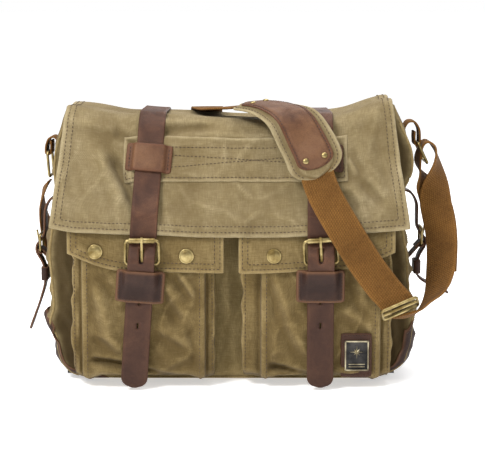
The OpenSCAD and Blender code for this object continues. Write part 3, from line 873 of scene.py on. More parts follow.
def wall(part, a, z, lift=0.0):
    """A point on the bag's outside. a runs from -1 to 1 along that wall, seen from outside."""
    a, z = matched(a, z)
    depth = table(z, DEPTH_OUTLINE)
    left, right = table(z, LEFT_OUTLINE), table(z, RIGHT_OUTLINE)
    middle, half = (right - left) / 2, (right + left) / 2
    calm = 1 - np.abs(a) ** 8
    low_calm = smooth(0, 12, z) * calm
    if part in ("front", "back"):
        t, n, nt, nn = side_line(a, half, CORNER_R)
        s = 1 if part == "front" else -1
        x = middle + s * t
        if part == "front":
            margin = smooth(170, 186, np.abs(x))
            push = 1.3 * ripple(x, z, 60, 3) + (0.6 + 2.2 * margin) * (crumple(x, z, 30, 4) - 0.4)
            push = (push + creases(x, z, FRONT_FOLDS)) * smooth(300, 260, z)
        else:
            push = (1.6 * ripple(x, z, 110, 5) + creases(x, z, BACK_FOLDS)) * smooth(262, 225, z)
            push = push + 0.8 * (crumple(x, z, 70, 6) - 0.4) * smooth(262, 225, z)
            push = np.minimum(push - 2.2 * bump(z, 150, 90) * bump(x, 0, 150), 1.5)
        push = push * low_calm + lift
        return np.stack([x + s * nt * push, -s * (depth + n) - s * nn * push, z], -1)
    s = 1 if part == "right" else -1
    t, n, nt, nn = side_line(a, depth, CORNER_R)
    y = s * t
    rows = RIGHT_END_FOLDS if s > 0 else LEFT_END_FOLDS
    clear = 1 - smooth(88, 100, z) * bump(y, 0, 17)
    push = 1.6 * ripple(y, z, 38, 8 + s) + 3.2 * (crumple(y, z, 44, 18 + s) - 0.4)
    push = (push + creases(y, z, rows)) * clear * low_calm
    push = push * smooth(320, 285, z) + lift
    x = end_width(y, z, RIGHT_OUTLINE if s > 0 else LEFT_OUTLINE) + n
    return np.stack([s * (x + nn * push), y + s * nt * push, z], -1)


def rim(x, y):
    """Height of the walls' top edge."""
    ends = smooth(150, 180, np.abs(x))
    dip = 6 * smooth(-50, -60, y) * (1 - ends) + 3 * smooth(44, 62, y)
    return WALL_TOP + 8 * smooth(-66, -46, y) - dip + 0.85 * top_lift(x) + 1.0 * ends


def wall_grid(part, a, top=None, lift=0.0, base=0.6, rows=88):
    """Rows of wall points from the base up to the rim, or to a given height."""
    at_top = wall(part, a, RIM_SAMPLE_Z)
    tops = rim(at_top[:, 0], at_top[:, 1]) if top is None else np.broadcast_to(top, a.shape)
    foot = np.array([0, 0.6, 1.6, 3.2, 5.4, 8.2, 11.6, 15.5]) + base
    rest = foot[-1] + np.linspace(0, 1, rows)[None, 1:] * (tops - foot[-1])[:, None]
    z = np.concatenate([np.tile(foot, (len(a), 1)), rest], 1)
    return wall(part, a[:, None], z, lift)


WALLS = (("front", "front_panel", 190, CANVAS_LIT_BODY), ("back", "back_panel", 150, CANVAS_SHADE),
         ("left", "left_gusset", 84, CANVAS_SHADE), ("right", "right_gusset", 84, CANVAS_SHADE))


def make_walls():
    """The four outer walls, with painted shade low down, on the ends and at the front's margins beside
    the pockets.
    """
    for part, node, count, paint in WALLS:
        grid = wall_grid(part, np.linspace(-1, 1, count), rows=110)
        # Painted shade: a little low down, strongly at the front's outer margins, and some over the
        # ends.
        painted_shade_amount = 0.1 * smooth(110, 20, grid[:, :, 2])
        if part == "front":
            painted_shade_amount = painted_shade_amount + 0.9 * smooth(160, 178, np.abs(grid[:, :, 0]))
        elif part != "back":
            painted_shade_amount = painted_shade_amount + 0.25
        panel = cloth(node + "_canvas", grid, CLOTH_T, paint, dirt=painted_shade_amount)
        place(panel, "root", "canvas", node)


def make_bottom():
    """The bottom, a little hollow under its middle."""
    u, v = square(70, 26, flip=-1)
    reach = np.maximum(np.abs(u), np.abs(v))
    shrink = reach / np.maximum((np.abs(u) ** 8 + np.abs(v) ** 8) ** 0.125, 1e-6)
    x = u * shrink * 172 + 1
    y = v * shrink * 59
    z = 0.3 + 0.8 * (1 + ripple(x, y, 70, 21)) * smooth(1, 0.8, reach)
    panel = cloth("bottom_panel_canvas", np.stack([x, y, z], 2), CLOTH_T, CANVAS_SHADE)
    place(panel, "root", "canvas", "bottom_panel")


def corner_line(front, end, z):
    """The seam where the front or back wall meets an end."""
    return wall("front" if front else "back", end if front else -end, z, 0.2)


def make_piping():
    """A corded seam down each of the four upright corners."""
    seams = []
    for end in (-1, 1):
        for front in (True, False):
            z = np.linspace(4, 297, 100)
            seams.append(tube("seam", corner_line(front, end, z), 1.7, CANVAS_SHADE))
    place(merge("corner_piping", seams), "root", "canvas")


def corner_path(left, front_reach, heights):
    """Wall samples round one bottom corner: front strip, the end, and a strip of the back."""
    bands = []
    back = 1 - 30 / HALF_WIDTH
    for z in heights:
        front = 1 - (front_reach + 26 * smooth(14, 3, z)) / HALF_WIDTH
        if left:
            pieces = [("back", np.linspace(back, 1, 8)), ("left", np.linspace(-1, 1, 46)),
                      ("front", np.linspace(-1, -front, 12))]
        else:
            pieces = [("front", np.linspace(front, 1, 12)), ("right", np.linspace(-1, 1, 46)),
                      ("back", np.linspace(-1, -back, 8))]
        points = [wall(part, a, z, 1.5) for part, a in pieces]
        bands.append(np.vstack([points[0]] + [p[1:] for p in points[1:]]))
    return np.stack(bands, 1)


def make_corner(left):
    """A leather patch round one bottom corner, stitched along its top."""
    name = "left" if left else "right"
    top = high(name + "_corner_patch")[2]
    heights = np.concatenate([[0.2, 0.8, 1.8, 3.4, 5.6, 8.4, 11.8], np.linspace(15.5, top, 22)])
    grid = corner_path(left, 4 if left else 10, heights)
    across = np.linspace(-1, 1, len(grid))
    slope = 16 * smooth(0.45, 1.0, np.abs(across)) - 2.5 * np.sin(across * 9)
    grid[:, :, 2] -= slope[:, None] * smooth(12, top, grid[:, :, 2])
    patch = cloth(name + "_corner_leather", grid, 1.5, DARK_LEATHER, 2.5)
    place(patch, "root", "dark_leather", name + "_corner_patch")
    line = grid[2:-2, -2] * 0.5 + grid[2:-2, -3] * 0.5
    normal = grid_normals(grid)[2:-2, -2]
    sew(name + "_corner_stitches", [seam(line, normal)], THREAD_DARK, "root", "dark_leather")


def make_lining():
    """One ring of lining inside the walls, and its floor."""
    samples = []
    for part in ("front", "right", "back", "left"):
        a = np.linspace(-1, 1, 60 if part in ("front", "back") else 26)
        grid = wall_grid(part, a, lift=-3.1, base=4.0)
        samples.append(grid[:-1])
    ring = np.concatenate(samples + [samples[0][:1]], 0)
    ring[:, :, 2] -= 5 * smooth(270, 300, ring[:, :, 2])
    walls = cloth("lining_walls", ring, 0.7, LINING)
    u, v = square(50, 20, flip=-1)
    x, y = u * 176, v * 56
    z = 4.6 + 0.3 * ripple(x, y, 50, 31)
    base = cloth("lining_base", np.stack([x, y, z], 2), 0.8, LINING)
    place(merge("lining_cloth", [walls, base]), "root", "lining_cloth", "lining")


def make_divider():
    """The padded sleeve wall: two crowned faces pulled in along sewn channels."""
    lo, hi = low("laptop_divider"), high("laptop_divider")
    u, v = square(90, 60)
    x = (lo[0] + hi[0]) / 2 + u * (hi[0] - lo[0]) / 2
    z = (lo[2] + hi[2]) / 2 + v * (hi[2] - lo[2]) / 2
    puff = (1 - u ** 6) * (1 - v ** 6) * (0.55 + 0.45 * np.abs(np.sin(z / 46 * math.pi)) ** 0.5)
    y = lo[1] + 1.6 - 1.6 * puff
    thick = 2.6 + 3.2 * puff
    pad = cloth("laptop_divider_pad", np.stack([x, y, z], 2), thick[..., None], LINING)
    place(pad, "root", "lining_cloth", "laptop_divider")


# ---- front pockets ----------------------------------------------------------------------

class Pocket:
    """Where one pocket's face and pleats end, from left to right, and its own folds."""

    def __init__(self, name, outer_left, face_left, face_right, outer_right, folds, seed):
        self.name = name
        self.edges = (outer_left, face_left, face_right, outer_right)
        self.folds = folds
        self.seed = seed


POCKET_LOW = 7.0
LEFT_POCKET = Pocket("left_pocket", -180.5, -165, -31, -16.5, [
    ((-160, 32), (-118, 25), -8.0, 3.6), ((-122, 25), (-62, 11), -8.0, 3.6),
    ((-158, 23), (-76, 8), 3.4, 5), ((-62, 130), (-40, 100), 5.0, 6, True),
    ((-84, 126), (-50, 72), 4.4, 9, True), ((-160, 120), (-140, 52), 4.2, 10, True),
    ((-150, 130), (-126, 96), -4.0, 8), ((-84, 66), (-40, 40), 4.0, 9, True),
    ((-46, 70), (-38, 24), -4.0, 6), ((-156, 62), (-122, 38), 4.0, 8, True),
    ((-74, 26), (-36, 44), 3.4, 7)], 41)
RIGHT_POCKET = Pocket("right_pocket", 12.5, 37, 167, 183, [
    ((38, 26), (66, 20), -8.0, 3.6), ((62, 20), (98, 11), -7.5, 3.6), ((42, 15), (90, 7), 3.2, 4.6),
    ((44, 130), (64, 72), 4.2, 9, True), ((138, 134), (152, 84), 4.6, 9, True),
    ((58, 76), (86, 30), 4.2, 9, True), ((160, 124), (150, 66), -4.0, 8),
    ((112, 22), (164, 12), 3.2, 6), ((122, 90), (162, 60), 3.8, 9, True)], 57)


def pleat(outer, edge, z, seed, sway):
    """Control points from the body round one side pleat to the pocket's face edge."""
    out = np.sign(outer - edge)
    wide = abs(outer - edge)
    wavy = sway * float(1.7 * ripple(z, 0.0, 46, seed) + 0.9 * ripple(z, 0.0, 19, seed + 1))
    tuck = sway * float(1.8 * ripple(z, 0.0, 38, seed + 3))
    nip = 3.5 * float(smooth(26, 6, z))
    reach = wide + wavy - nip
    return [(outer - out * 5, FRONT + 1.5), (outer - out * 2, FRONT - 7),
            (edge + out * 3, FRONT - 11), (edge + out * (wide - 1.5), FRONT - 17 + tuck),
            (edge + out * reach, FRONT - 27 + tuck), (edge + out * (reach - 0.8), FRONT - 31 + tuck),
            (edge + out * (wide * 0.45), FRONT - 31.5 - tuck * 0.4), (edge + out * 3.2, FRONT - 28.5),
            (edge + out * 2.4, FRONT - 37), (edge + out * 1.6, POCKET_FACE + 0.2),
            (edge - out * 2.6, POCKET_FACE - 0.9), (edge - out * 6.5, POCKET_FACE + 0.9)]


def pocket_row(pocket, z, count=230):
    """One level of a pocket, round its left pleat, across its face and round its right one."""
    outer_left, face_left, face_right, outer_right = pocket.edges
    lively = 1.9 if pocket.name.startswith("left") else 1.0
    points = pleat(outer_left, face_left, z, pocket.seed, lively)
    points += [((face_left + face_right) / 2, POCKET_FACE + 0.6)]
    points += pleat(outer_right, face_right, z, pocket.seed + 2, 0.9)[::-1]
    line = rounded(points, 2.6, 1.0)
    s = distance(line)
    return sample(np.linspace(0, s[-1], count), s, line)


def pocket_grid(pocket):
    """All levels of a pocket, with its face filled out, creased and drawn in at the bottom."""
    _, face_left, face_right, _ = pocket.edges
    top = high(pocket.name)[2] - 1
    heights = np.concatenate([[0, 0.8, 2, 3.6, 5.6, 8], np.linspace(11, top - POCKET_LOW, 84)])
    rows = []
    for up in heights:
        z = POCKET_LOW + up
        row = pocket_row(pocket, z)
        x, y = row[:, 0], row[:, 1]
        inside = smooth(face_left + 2, face_left + 14, x) * smooth(face_right - 2, face_right - 14, x)
        fill = math.sin(math.pi * min(1, max(0, z / 150)) ** 0.7)
        puff = 3.2 * (1 - ((x - (face_left + face_right) / 2) / 68) ** 2) * fill
        rumple = 1.5 * ripple(x, z, 46, pocket.seed) + 0.5 * ripple(x, z, 17, pocket.seed + 1)
        rumple = rumple + 1.5 * (crumple(x, z, 58, pocket.seed + 5) - 0.4)
        rumple = rumple + 1.3 * creases(x, z, pocket.folds)
        push = inside * (puff + rumple) * float(smooth(172, 150, z) * 0.8 + 0.2)
        closing = float(smooth(-3.5, 10.5, up)) ** 0.8
        y = FRONT + 1 + (y - push - FRONT - 1) * closing
        tips = sum(np.maximum(0, 1 - np.abs(x - t) / 15) for t in (face_left + 3, face_right - 4))
        tips = tips * (y < POCKET_FACE + 22 * (2 - closing)) * smooth(26, 0, up)
        rows.append(np.stack([x, y, z - 5.4 * tips + 0.5 * ripple(x, 0 * x, 40, 9)], 1))
    return np.stack(rows, 1)


def make_pocket(pocket):
    """A pocket in one piece, with its side pleats, closed at the bottom."""
    grid = pocket_grid(pocket)
    # Painted shade low on the pocket and on its pleats, which stand back behind its face.
    painted_shade_amount = 0.25 * smooth(90, 10, grid[:, :, 2])
    painted_shade_amount = painted_shade_amount + 0.3 * smooth(POCKET_FACE + 8, POCKET_FACE + 24, grid[:, :, 1])
    piece = cloth(pocket.name + "_canvas", grid, 1.5, CANVAS_SHADE, 3.0, painted_shade_amount)
    place(piece, "root", "canvas", pocket.name)
    normals = grid_normals(grid)
    outer_left, face_left, face_right, outer_right = pocket.edges
    seams = [grid_seam(grid, normals, x, POCKET_FACE + 8) for x in (face_left + 3.6, face_right - 3.6)]
    seams += [grid_seam(grid, normals, x, FRONT - 24, FRONT - 36)
              for x in (outer_left + 4.2, outer_right - 4.2)]
    sew(pocket.name + "_stitches", [s for s in seams if s], THREAD_DARK, "root", "canvas")


def grid_seam(grid, normals, x, y_back, y_front=-400.0):
    """A vertical seam on a pocket grid, at the points nearest to one x."""
    points, ups = [], []
    for j in range(5, grid.shape[1] - 1):
        row = grid[:, j]
        usable = (row[:, 1] < y_back) & (row[:, 1] > y_front)
        far = np.where(usable, np.abs(row[:, 0] - x), 1e3)
        i = int(np.argmin(far))
        if far[i] < 3:
            points.append(row[i] * 1.0)
            points[-1][0] = x if far[i] < 1.5 else row[i][0]
            ups.append(normals[i, j])
    return seam(soft_line(points), ups) if len(points) > 12 else None


def soft_line(points, passes=2):
    """Takes the jitter out of a line of points."""
    p = np.array(points, float)
    for _ in range(passes):
        p[1:-1] = (p[:-2] + 2 * p[1:-1] + p[2:]) / 4
    return p


# ---- pocket flaps -----------------------------------------------------------------------

POCKET_FLAP_PATH = rounded([(-63.2, 207), (-66, 204.5), (-102.5, 182), (-105.2, 173),
                            (-107.4, 160), (-107.5, 126)], 7, 1.0)
POCKET_FLAP_S = distance(POCKET_FLAP_PATH)


class PocketFlap:
    """One pocket flap: its ends, and the height of its lower edge across."""

    def __init__(self, name, left, right, low_edge, folds, seed):
        self.name = name
        self.left = left
        self.right = right
        self.low_edge = low_edge
        self.folds = folds
        self.seed = seed

    def length(self, x):
        """Distance down the flap to its lower edge."""
        z = table(x, self.low_edge)
        return np.interp(-z, -POCKET_FLAP_PATH[:, 1], POCKET_FLAP_S)

    def surface(self, x, s):
        x, s = matched(x, s)
        y = np.interp(s, POCKET_FLAP_S, POCKET_FLAP_PATH[:, 0])
        z = np.interp(s, POCKET_FLAP_S, POCKET_FLAP_PATH[:, 1])
        edge = np.minimum(x - self.left, self.right - x)
        push = 0.45 * ripple(x, z, 44, self.seed) + creases(x, z, self.folds)
        push = push - 1.4 * smooth(14, 0, edge) * smooth(205, 190, z)
        push = push * smooth(208, 196, z) * (1 - 0.8 * bump(z, 174, 8))
        return np.stack([x, y - push, z], -1)


LEFT_POCKET_FLAP = PocketFlap(
    "left_pocket_flap", -182, -8,
    [(-182, 154), (-170, 149), (-150, 141), (-132, 136), (-86, 134), (-8, 132)],
    [((-170, 168), (-150, 150), -1.6, 6, True), ((-176, 156), (-160, 160), 1.4, 5),
     ((-70, 160), (-60, 138), 0.9, 6, True), ((-30, 170), (-18, 140), 0.9, 7)], 71)
RIGHT_POCKET_FLAP = PocketFlap(
    "right_pocket_flap", 10, 184,
    [(10, 131.5), (40, 132), (90, 135), (135, 138), (150, 142), (184, 155)],
    [((70, 160), (80, 138), 0.9, 6, True), ((160, 168), (150, 148), -1.2, 6),
     ((18, 168), (30, 140), 0.8, 7)], 77)


def make_pocket_flap(flap):
    """A pocket's flap, which bends where it is sewn to the front wall."""
    x = np.linspace(flap.left, flap.right, 84)
    v = np.linspace(0, 1, 46)
    s = flap.length(x)[:, None] * v[None]
    grid = flap.surface(x[:, None], s)[:, ::-1]
    # Painted shadow along the top of the flap, which lies under the main flap's edge.
    painted_shade_amount = 0.25 * smooth(168, 190, grid[:, :, 2])
    piece = cloth(flap.name + "_canvas", grid, 2.0, CANVAS_SHADE, dirt=painted_shade_amount)
    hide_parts(flap.name)
    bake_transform(piece)
    width, long = flap.right - flap.left, float(flap.length(x).mean())
    seams = []
    for off in (3.6, 9.6):
        across = np.linspace(flap.left + off, flap.right - off, 90)
        seams.append(surface_seam(flap.surface, across, flap.length(across) - off, -1))
        for side in (flap.left + off, flap.right - off):
            down = np.linspace(24, float(flap.length(side)) - off, 40)
            seams.append(surface_seam(flap.surface, side, down, -1))
    sew(flap.name + "_stitches", seams, THREAD_DARK, flap.name, "canvas")


# ---- main flap --------------------------------------------------------------------------

FLAP_PATH = rounded([(64.9, 282), (64.6, 300), (57, 305.3), (-54, 305.4), (-67.6, 297),
                     (-108.8, 192.5), (-110.4, 170)], 9, 1.0)
FLAP_S = distance(FLAP_PATH)
FLAP_BOTTOM = [(-203, 184), (-190, 181), (-150, 177.5), (-86, 175.6), (-30, 173.6), (40, 173.2),
               (101, 174.8), (150, 177.5), (200, 182)]
FLAP_FOLDS = [
    ((-134, 262), (-104, 206), -9.5, 6.5), ((-150, 268), (-118, 200), 4.6, 11),
    ((-92, 286), (-18, 296), -4.6, 6.0), ((-88, 300), (-6, 307), 3.6, 6.5),
    ((-130, 288), (-104, 272), -5, 6), ((-70, 288), (60, 284), 2.2, 7),
    ((-190, 292), (-108, 285), 2.6, 6), ((-176, 276), (-150, 210), 1.8, 16, True),
    ((-84, 230), (-76, 184), -2.2, 6), ((-60, 220), (-20, 190), 1.8, 14, True),
    ((20, 226), (60, 196), 1.8, 14, True), ((116, 300), (126, 252), -3.6, 8),
    ((132, 262), (146, 240), -3.0, 6, True), ((150, 236), (172, 212), 3.4, 7, True),
    ((128, 226), (146, 206), 2.6, 8, True), ((150, 300), (182, 262), 2.6, 12, True),
    ((186, 250), (176, 200), 2.0, 12, True), ((-192, 250), (-182, 196), 1.6, 9)]

FLAP_HALF = 202
FLAP_SLOPE = math.radians(21.5)
HEM_T = 0.7
# Along the path: the first sample that is surely past its rise on the back, the distance to
# the fold on the back, and the distance to the middle of the bend at the front.
FLAP_FRONT_FROM = 30
FLAP_HINGE_S = 20
FLAP_CREST_S = float(FLAP_S[np.argmin(np.abs(FLAP_PATH[:, 0] + 58) + 10 * (FLAP_PATH[:, 1] < 290))])


def flap_half(s):
    """Half width of the flap: narrower over the top than at its lower edge."""
    return np.interp(s, [0, FLAP_HINGE_S, FLAP_CREST_S - 30, FLAP_CREST_S, FLAP_S[-1]],
                     [185, 186, 185, 184, FLAP_HALF])


def main_surface(x, s):
    """A point on the flap's outside: x is the place across at its full width, s the distance
    from its hem on the back, both in millimetres."""
    x, s = matched(x, s)
    y, z = np.moveaxis(sample(s, FLAP_S, FLAP_PATH), -1, 0)
    place_x = x / FLAP_HALF * flap_half(s) - 1.0
    ridge = smooth(FLAP_CREST_S + 62, FLAP_CREST_S, s)
    up = top_lift(place_x) * ridge * (0.4 + 0.6 * smooth(0, 34, s))
    front = smooth(FLAP_CREST_S - 8, FLAP_CREST_S + 12, s)
    over = smooth(22, 40, s) * (1 - front)
    held = 1 - 0.85 * np.maximum(bump(place_x, -94, 15), bump(place_x, 101, 15))
    push = 1.3 * ripple(place_x, z, 74, 12) + 1.7 * (crumple(place_x, z, 66, 24) - 0.4)
    push = (push + 1.35 * creases(place_x, z, FLAP_FOLDS)) * front * held
    push = push + 0.5 * ripple(place_x, z, 22, 14) * front
    humps = (1.6 * ripple(place_x, y, 70, 16) - 2.2 * bump(y, 6, 24)) * over * held
    corner = smooth(150, 182, np.abs(place_x)) * ridge * front
    hem = HEM_T * smooth(13.2, 11.8, FLAP_HALF - np.abs(x)) * (1 - smooth(14, 4, s))
    left_to_go = FLAP_S[-1] - s - 1.03 * (table(x, FLAP_BOTTOM) - FLAP_PATH[-1, 1])
    hem = np.maximum(hem, HEM_T * smooth(13.2, 11.8, left_to_go))
    push = push + hem * front
    y = y - math.cos(FLAP_SLOPE) * push + 3 * corner
    z = z + math.sin(FLAP_SLOPE) * push + up + humps + hem * over
    return np.stack([place_x, y, z], -1)


def flap_s_at(z):
    """Distance along the flap to a height on its front."""
    front = slice(FLAP_FRONT_FROM, None)
    return np.interp(-np.asarray(z, float), -FLAP_PATH[front, 1], FLAP_S[front])


def flap_length(x):
    """Distance down the flap to its lower edge."""
    return flap_s_at(table(x, FLAP_BOTTOM))


def make_main_flap():
    """The flap in one sheet, from its hem on the back to its lower edge."""
    x = np.linspace(-FLAP_HALF, FLAP_HALF, 190)
    v = np.linspace(0, 1, 130)
    s = flap_length(x)[:, None] * v[None]
    grid = main_surface(x[:, None], s)[:, ::-1]
    piece = cloth("main_flap_canvas", grid, CLOTH_T, CANVAS, 4.0)
    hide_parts("main_flap")
    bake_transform(piece)
    float(flap_length(0.0)) * MM
    seams = []
    for off in (4.6, 11.2):
        across = np.linspace(off - FLAP_HALF, FLAP_HALF - off, 200)
        seams.append(surface_seam(main_surface, across, flap_length(across) - off, -1))
        for side in (off - FLAP_HALF, FLAP_HALF - off):
            down = np.linspace(off, float(flap_length(side)) - off, 130)
            seams.append(surface_seam(main_surface, side, down, -1))
        seams.append(surface_seam(main_surface, across, off, -1))
    threads = stitching("main_flap_stitches", seams, THREAD_DARK)
    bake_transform(threads)


BAND_LEFT, BAND_RIGHT = -119.0, 131.0
BAND_LOW, BAND_HIGH = 233.5, 282.0


def on_flap(place_x, z, lift=0.0):
    """A point on the flap's front at a true x and a height."""
    s = flap_s_at(z)
    x = (np.asarray(place_x, float) + 1) / flap_half(s) * FLAP_HALF
    return main_surface(x, s) - surface_normal(main_surface, x, s) * lift


def make_band():
    """The reinforcing band, sewn down along its edges and with a long bow tie across."""
    x = np.linspace(BAND_LEFT, BAND_RIGHT, 110)
    z = np.linspace(BAND_LOW, BAND_HIGH, 30)
    grid = on_flap(x[:, None], z[None], 1.7)
    piece = cloth("flap_band_canvas", grid, 1.9, CANVAS, 2.0)
    place(piece, "main_flap", "canvas", "flap_band")

    def line(x0, z0, x1, z1):
        t = np.linspace(0, 1, 80)
        px, pz = x0 + (x1 - x0) * t, z0 + (z1 - z0) * t
        here = on_flap(px, pz, 1.75)
        return seam(here, unit(on_flap(px, pz, 3) - here))

    a, b, c, d = BAND_LEFT + 3, BAND_RIGHT - 3, BAND_LOW + 3.5, BAND_HIGH - 11.5
    seams = [line(a, d, b, d), line(a, c, b, c), line(a, c, a, d), line(b, c, b, d),
             line(-68, 262, 124, 250), line(-68, 248, 124, 264)]
    sew("flap_band_stitches", seams, THREAD_DARK, "main_flap", "canvas")


# ---- front straps ---------------------------------------------------------------------

def turned(points, degrees, axis):
    """Points turned about an axis through the origin."""
    spin = np.array(Matrix.Rotation(math.radians(degrees), 3, axis))
    return np.asarray(points, float) @ spin.T


def on_strap(points, left):
    """Points drawn about X = 0, moved to the left or right front strap."""
    lean = STRAP_LEAN_DEG if left else 0
    return turned(points, lean, "Y") + [LEFT_STRAP_X if left else RIGHT_STRAP_X, 0, 0]


def on_buckle(points, left):
    """The same for pieces that are canted with the buckle."""
    middle = np.array([0, 0, (HEEL_Z + ROLLER_Z) / 2])
    return on_strap(turned(np.asarray(points, float) - middle, -BUCKLE_CANT_DEG, "Y") + middle, left)


def in_section(pairs):
    """Points in the plane of Y and Z."""
    return [(0, y, z) for y, z in pairs]


def cut(obj, cutters):
    """Opens real slots in a piece."""
    cutter = merge("cutter", cutters)
    hole = obj.modifiers.new("slots", "BOOLEAN")
    hole.object = cutter
    hole.solver = "EXACT"
    bpy.context.view_layer.objects.active = obj
    bpy.ops.object.modifier_apply(modifier=hole.name)
    bpy.data.objects.remove(cutter)


def slot_cutter(centre, size, left):
    """A cutter for an upright slot with round ends: its width, height and half depth."""
    turn = np.linspace(0, TAU, 16, endpoint=False)
    x, z = np.cos(turn) * size[0] / 2, np.sin(turn) * size[0] / 2
    z = z + np.sign(np.sin(turn) + 1e-9) * (size[1] - size[0]) / 2
    ring = np.stack([x, 0 * turn, z], 1)
    points = np.vstack([ring + [0, -size[2], 0], ring + [0, size[2], 0]]) + centre
    n = len(ring)
    faces = [list(range(n))[::-1], list(range(n, 2 * n))]
    faces += [[k, (k + 1) % n, n + (k + 1) % n, n + k] for k in range(n)]
    return solid("slot", on_strap(points, left), faces, DARK_LEATHER)


def make_strap(left):
    """A front strap, from its anchor on the back, over the top and through its buckle."""
    name = "left" if left else "right"
    rise = 2.2 if left else 0
    over = [(66.3, 238), (66.3, 296), (61.5, 305.6 + rise), (FRONT + 4, 307.3 + rise),
            (FRONT - 9.2, 297.8)]
    down = [(-113.4, 196), (-112.4, 188), (-112.4, 177), (-111.6, 171.5), (-111.6, 167),
            (-122.6, 151), (-122.6, 141), (-112.3, 121), (-112.3, 2)]
    line = rounded(in_section(over + down), 7, 2.2)

    piece = ribbon(name + "_strap_leather", line, STRAP_W, STRAP_T, LEATHER,
                   half=tipped(STRAP_W / 2, 13, 13.2, 2.6), wave=0.35, seed=5 + left, crown=0.3)
    reshape(piece, lambda points: on_strap(points, left))
    holes = [slot_cutter((0, -112.3, z), (2.0, 7, 5), left) for z in (73, 100)]
    prong_slot = slot_cutter((0, -119, 153), (5.4, 17, 12), left)
    cut(piece, holes + [prong_slot])
    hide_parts(name + "_strap")
    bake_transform(piece)


def make_anchor(left, x):
    """Where a front strap is sewn to the back: a stitched box with a cross."""
    u, v = np.meshgrid(np.linspace(-1, 1, 20), np.linspace(0, 1, 24), indexing="ij")
    grid = np.stack([x - u * 17, ANCHOR_Y + 1.6 * (1 - u ** 4 * 0.3), ANCHOR_LOW + 34 * v], 2)
    name = ("left" if left else "right") + "_strap_anchor"
    piece = cloth(name, grid, 1.6, DARK_LEATHER, 2.0)

    def line(x0, z0, x1, z1):
        t = np.linspace(0, 1, 20)[:, None]
        face = ANCHOR_Y + 1.7
        p = np.array([x0, face, z0]) * (1 - t) + np.array([x1, face, z1]) * t
        return seam(p, np.tile(ALONG_Y, (20, 1)))

    a, b, c, d = x - 13, x + 13, ANCHOR_LOW + 4, ANCHOR_LOW + 30
    seams = [line(a, c, b, c), line(b, c, b, d), line(b, d, a, d), line(a, d, a, c),
             line(a, c, b, d), line(a, d, b, c)]
    nodes = ["strap_anchors"] if left else []
    place(piece, "root", "dark_leather", *nodes)
    sew(name + "_stitches", seams, THREAD_DARK, "root", "dark_leather")


def make_chape(left):
    """The leather folded round the buckle's heel bar."""
    name = "left" if left else "right"
    fold = arc((BUCKLE_Y, HEEL_Z), 3.0, 330, 60, 14)
    line = rounded(in_section([(-108.9, 104), (-108.9, 136), (-112.5, 139.6)] + fold
                              + [(-110.5, 143.5), (-108.9, 147)]), 4, 1.2)
    piece = ribbon(name + "_chape_leather", line, 26, 1.3, DARK_LEATHER, wave=0.1)
    reshape(piece, lambda points: on_buckle(points, left))
    place(piece, "main_flap", "dark_leather", name + "_chape")


def make_upper_keeper(left):
    """A leather bridge on the flap's slope that the strap passes under."""
    name = "left" if left else "right"
    up = np.array([0, math.sin(FLAP_SLOPE), math.cos(FLAP_SLOPE)])
    out = np.array([0, -math.cos(FLAP_SLOPE), math.sin(FLAP_SLOPE)])
    lean = UPPER_KEEPER_Z * math.sin(math.radians(STRAP_LEAN_DEG))
    x_mid = LEFT_STRAP_X + lean if left else RIGHT_STRAP_X
    y_mid = np.interp(UPPER_KEEPER_Z, (192, 296), (-107.5, -66.5))
    turn = math.radians(-STRAP_LEAN_DEG - 1 if left else 0)

    def surface(u, v):
        u, v = matched(u, v)
        height = 5.5 + 4.9 * smooth(20.5, 15.2, np.abs(u)) - 0.5 * (u / 16) ** 2 * (np.abs(u) < 16)
        height = height + 0.25 * ripple(u, v, 22, 33 + left)
        a = u * math.cos(turn) - v * math.sin(turn)
        b = u * math.sin(turn) + v * math.cos(turn)
        base = np.array([x_mid, y_mid, UPPER_KEEPER_Z])
        return base + a[..., None] * [1, 0, 0] + b[..., None] * up + height[..., None] * out

    grid = surface(*round_square(44, 24, 25, 15.5, 2.5))
    paint = RED_LEATHER if left else LEATHER
    piece = cloth(name + "_upper_keeper_leather", grid, 1.9, paint, 2.2)
    place(piece, "main_flap", "strap_leather", name + "_upper_keeper")
    t = np.linspace(-12.5, 12.5, 30)
    seams = [surface_seam(surface, x, t, length=2.6, pitch=3.6) for x in (-21.8, 21.8)]
    sew(name + "_upper_keeper_stitches", seams, THREAD_BROWN, "main_flap", "strap_leather")


def make_lower_keeper(left):
    """A leather bridge below the buckle, on its own sewn patch."""
    name = "left" if left else "right"

    def surface(u, v):
        u, v = matched(u, v)
        hump = 3.6 + 6.6 * smooth(-6, 16, v)
        out = 112.9 + hump * smooth(22.5, 14.5, np.abs(u)) - 0.4 * (u / 26) ** 2
        out = out + 0.3 * ripple(u, v, 24, 37 + left) - 0.5 * smooth(14, 17.5, np.abs(v))
        middle = (KEEPER_LOW + KEEPER_HIGH) / 2
        return on_strap(np.stack([u, -out, v + middle], -1), left)

    tall = (KEEPER_HIGH - KEEPER_LOW) / 2
    u, v = round_square(46, 28, 26, tall, 3.0)
    piece = cloth(name + "_lower_keeper_leather", surface(u, v), 2.1, DARK_LEATHER, 2.0)
    back = np.stack([u, np.full_like(u, -110.4) + 0.2 * ripple(u, v, 30, 3), v * 1.02 + 117.5], -1)
    patch = cloth("patch", on_strap(back * [1.03, 1, 1], left), 1.2, DARK_LEATHER, 2.0)
    piece = merge(name + "_lower_keeper_leather", [piece, patch])
    place(piece, "main_flap", "dark_leather", name + "_lower_keeper")
    t = np.linspace(-14, 14, 30)
    seams = [surface_seam(surface, x, t, length=2.4, pitch=3.4) for x in (-23.6, 23.6)]
    wide = np.linspace(-23.6, 23.6, 50)
    seams.append(surface_seam(surface, wide, -tall + 2.4, length=2.4, pitch=3.4))
    sew(name + "_lower_keeper_stitches", seams, THREAD_BROWN, "main_flap", "dark_leather")


# ---- side fittings ----------------------------------------------------------------------

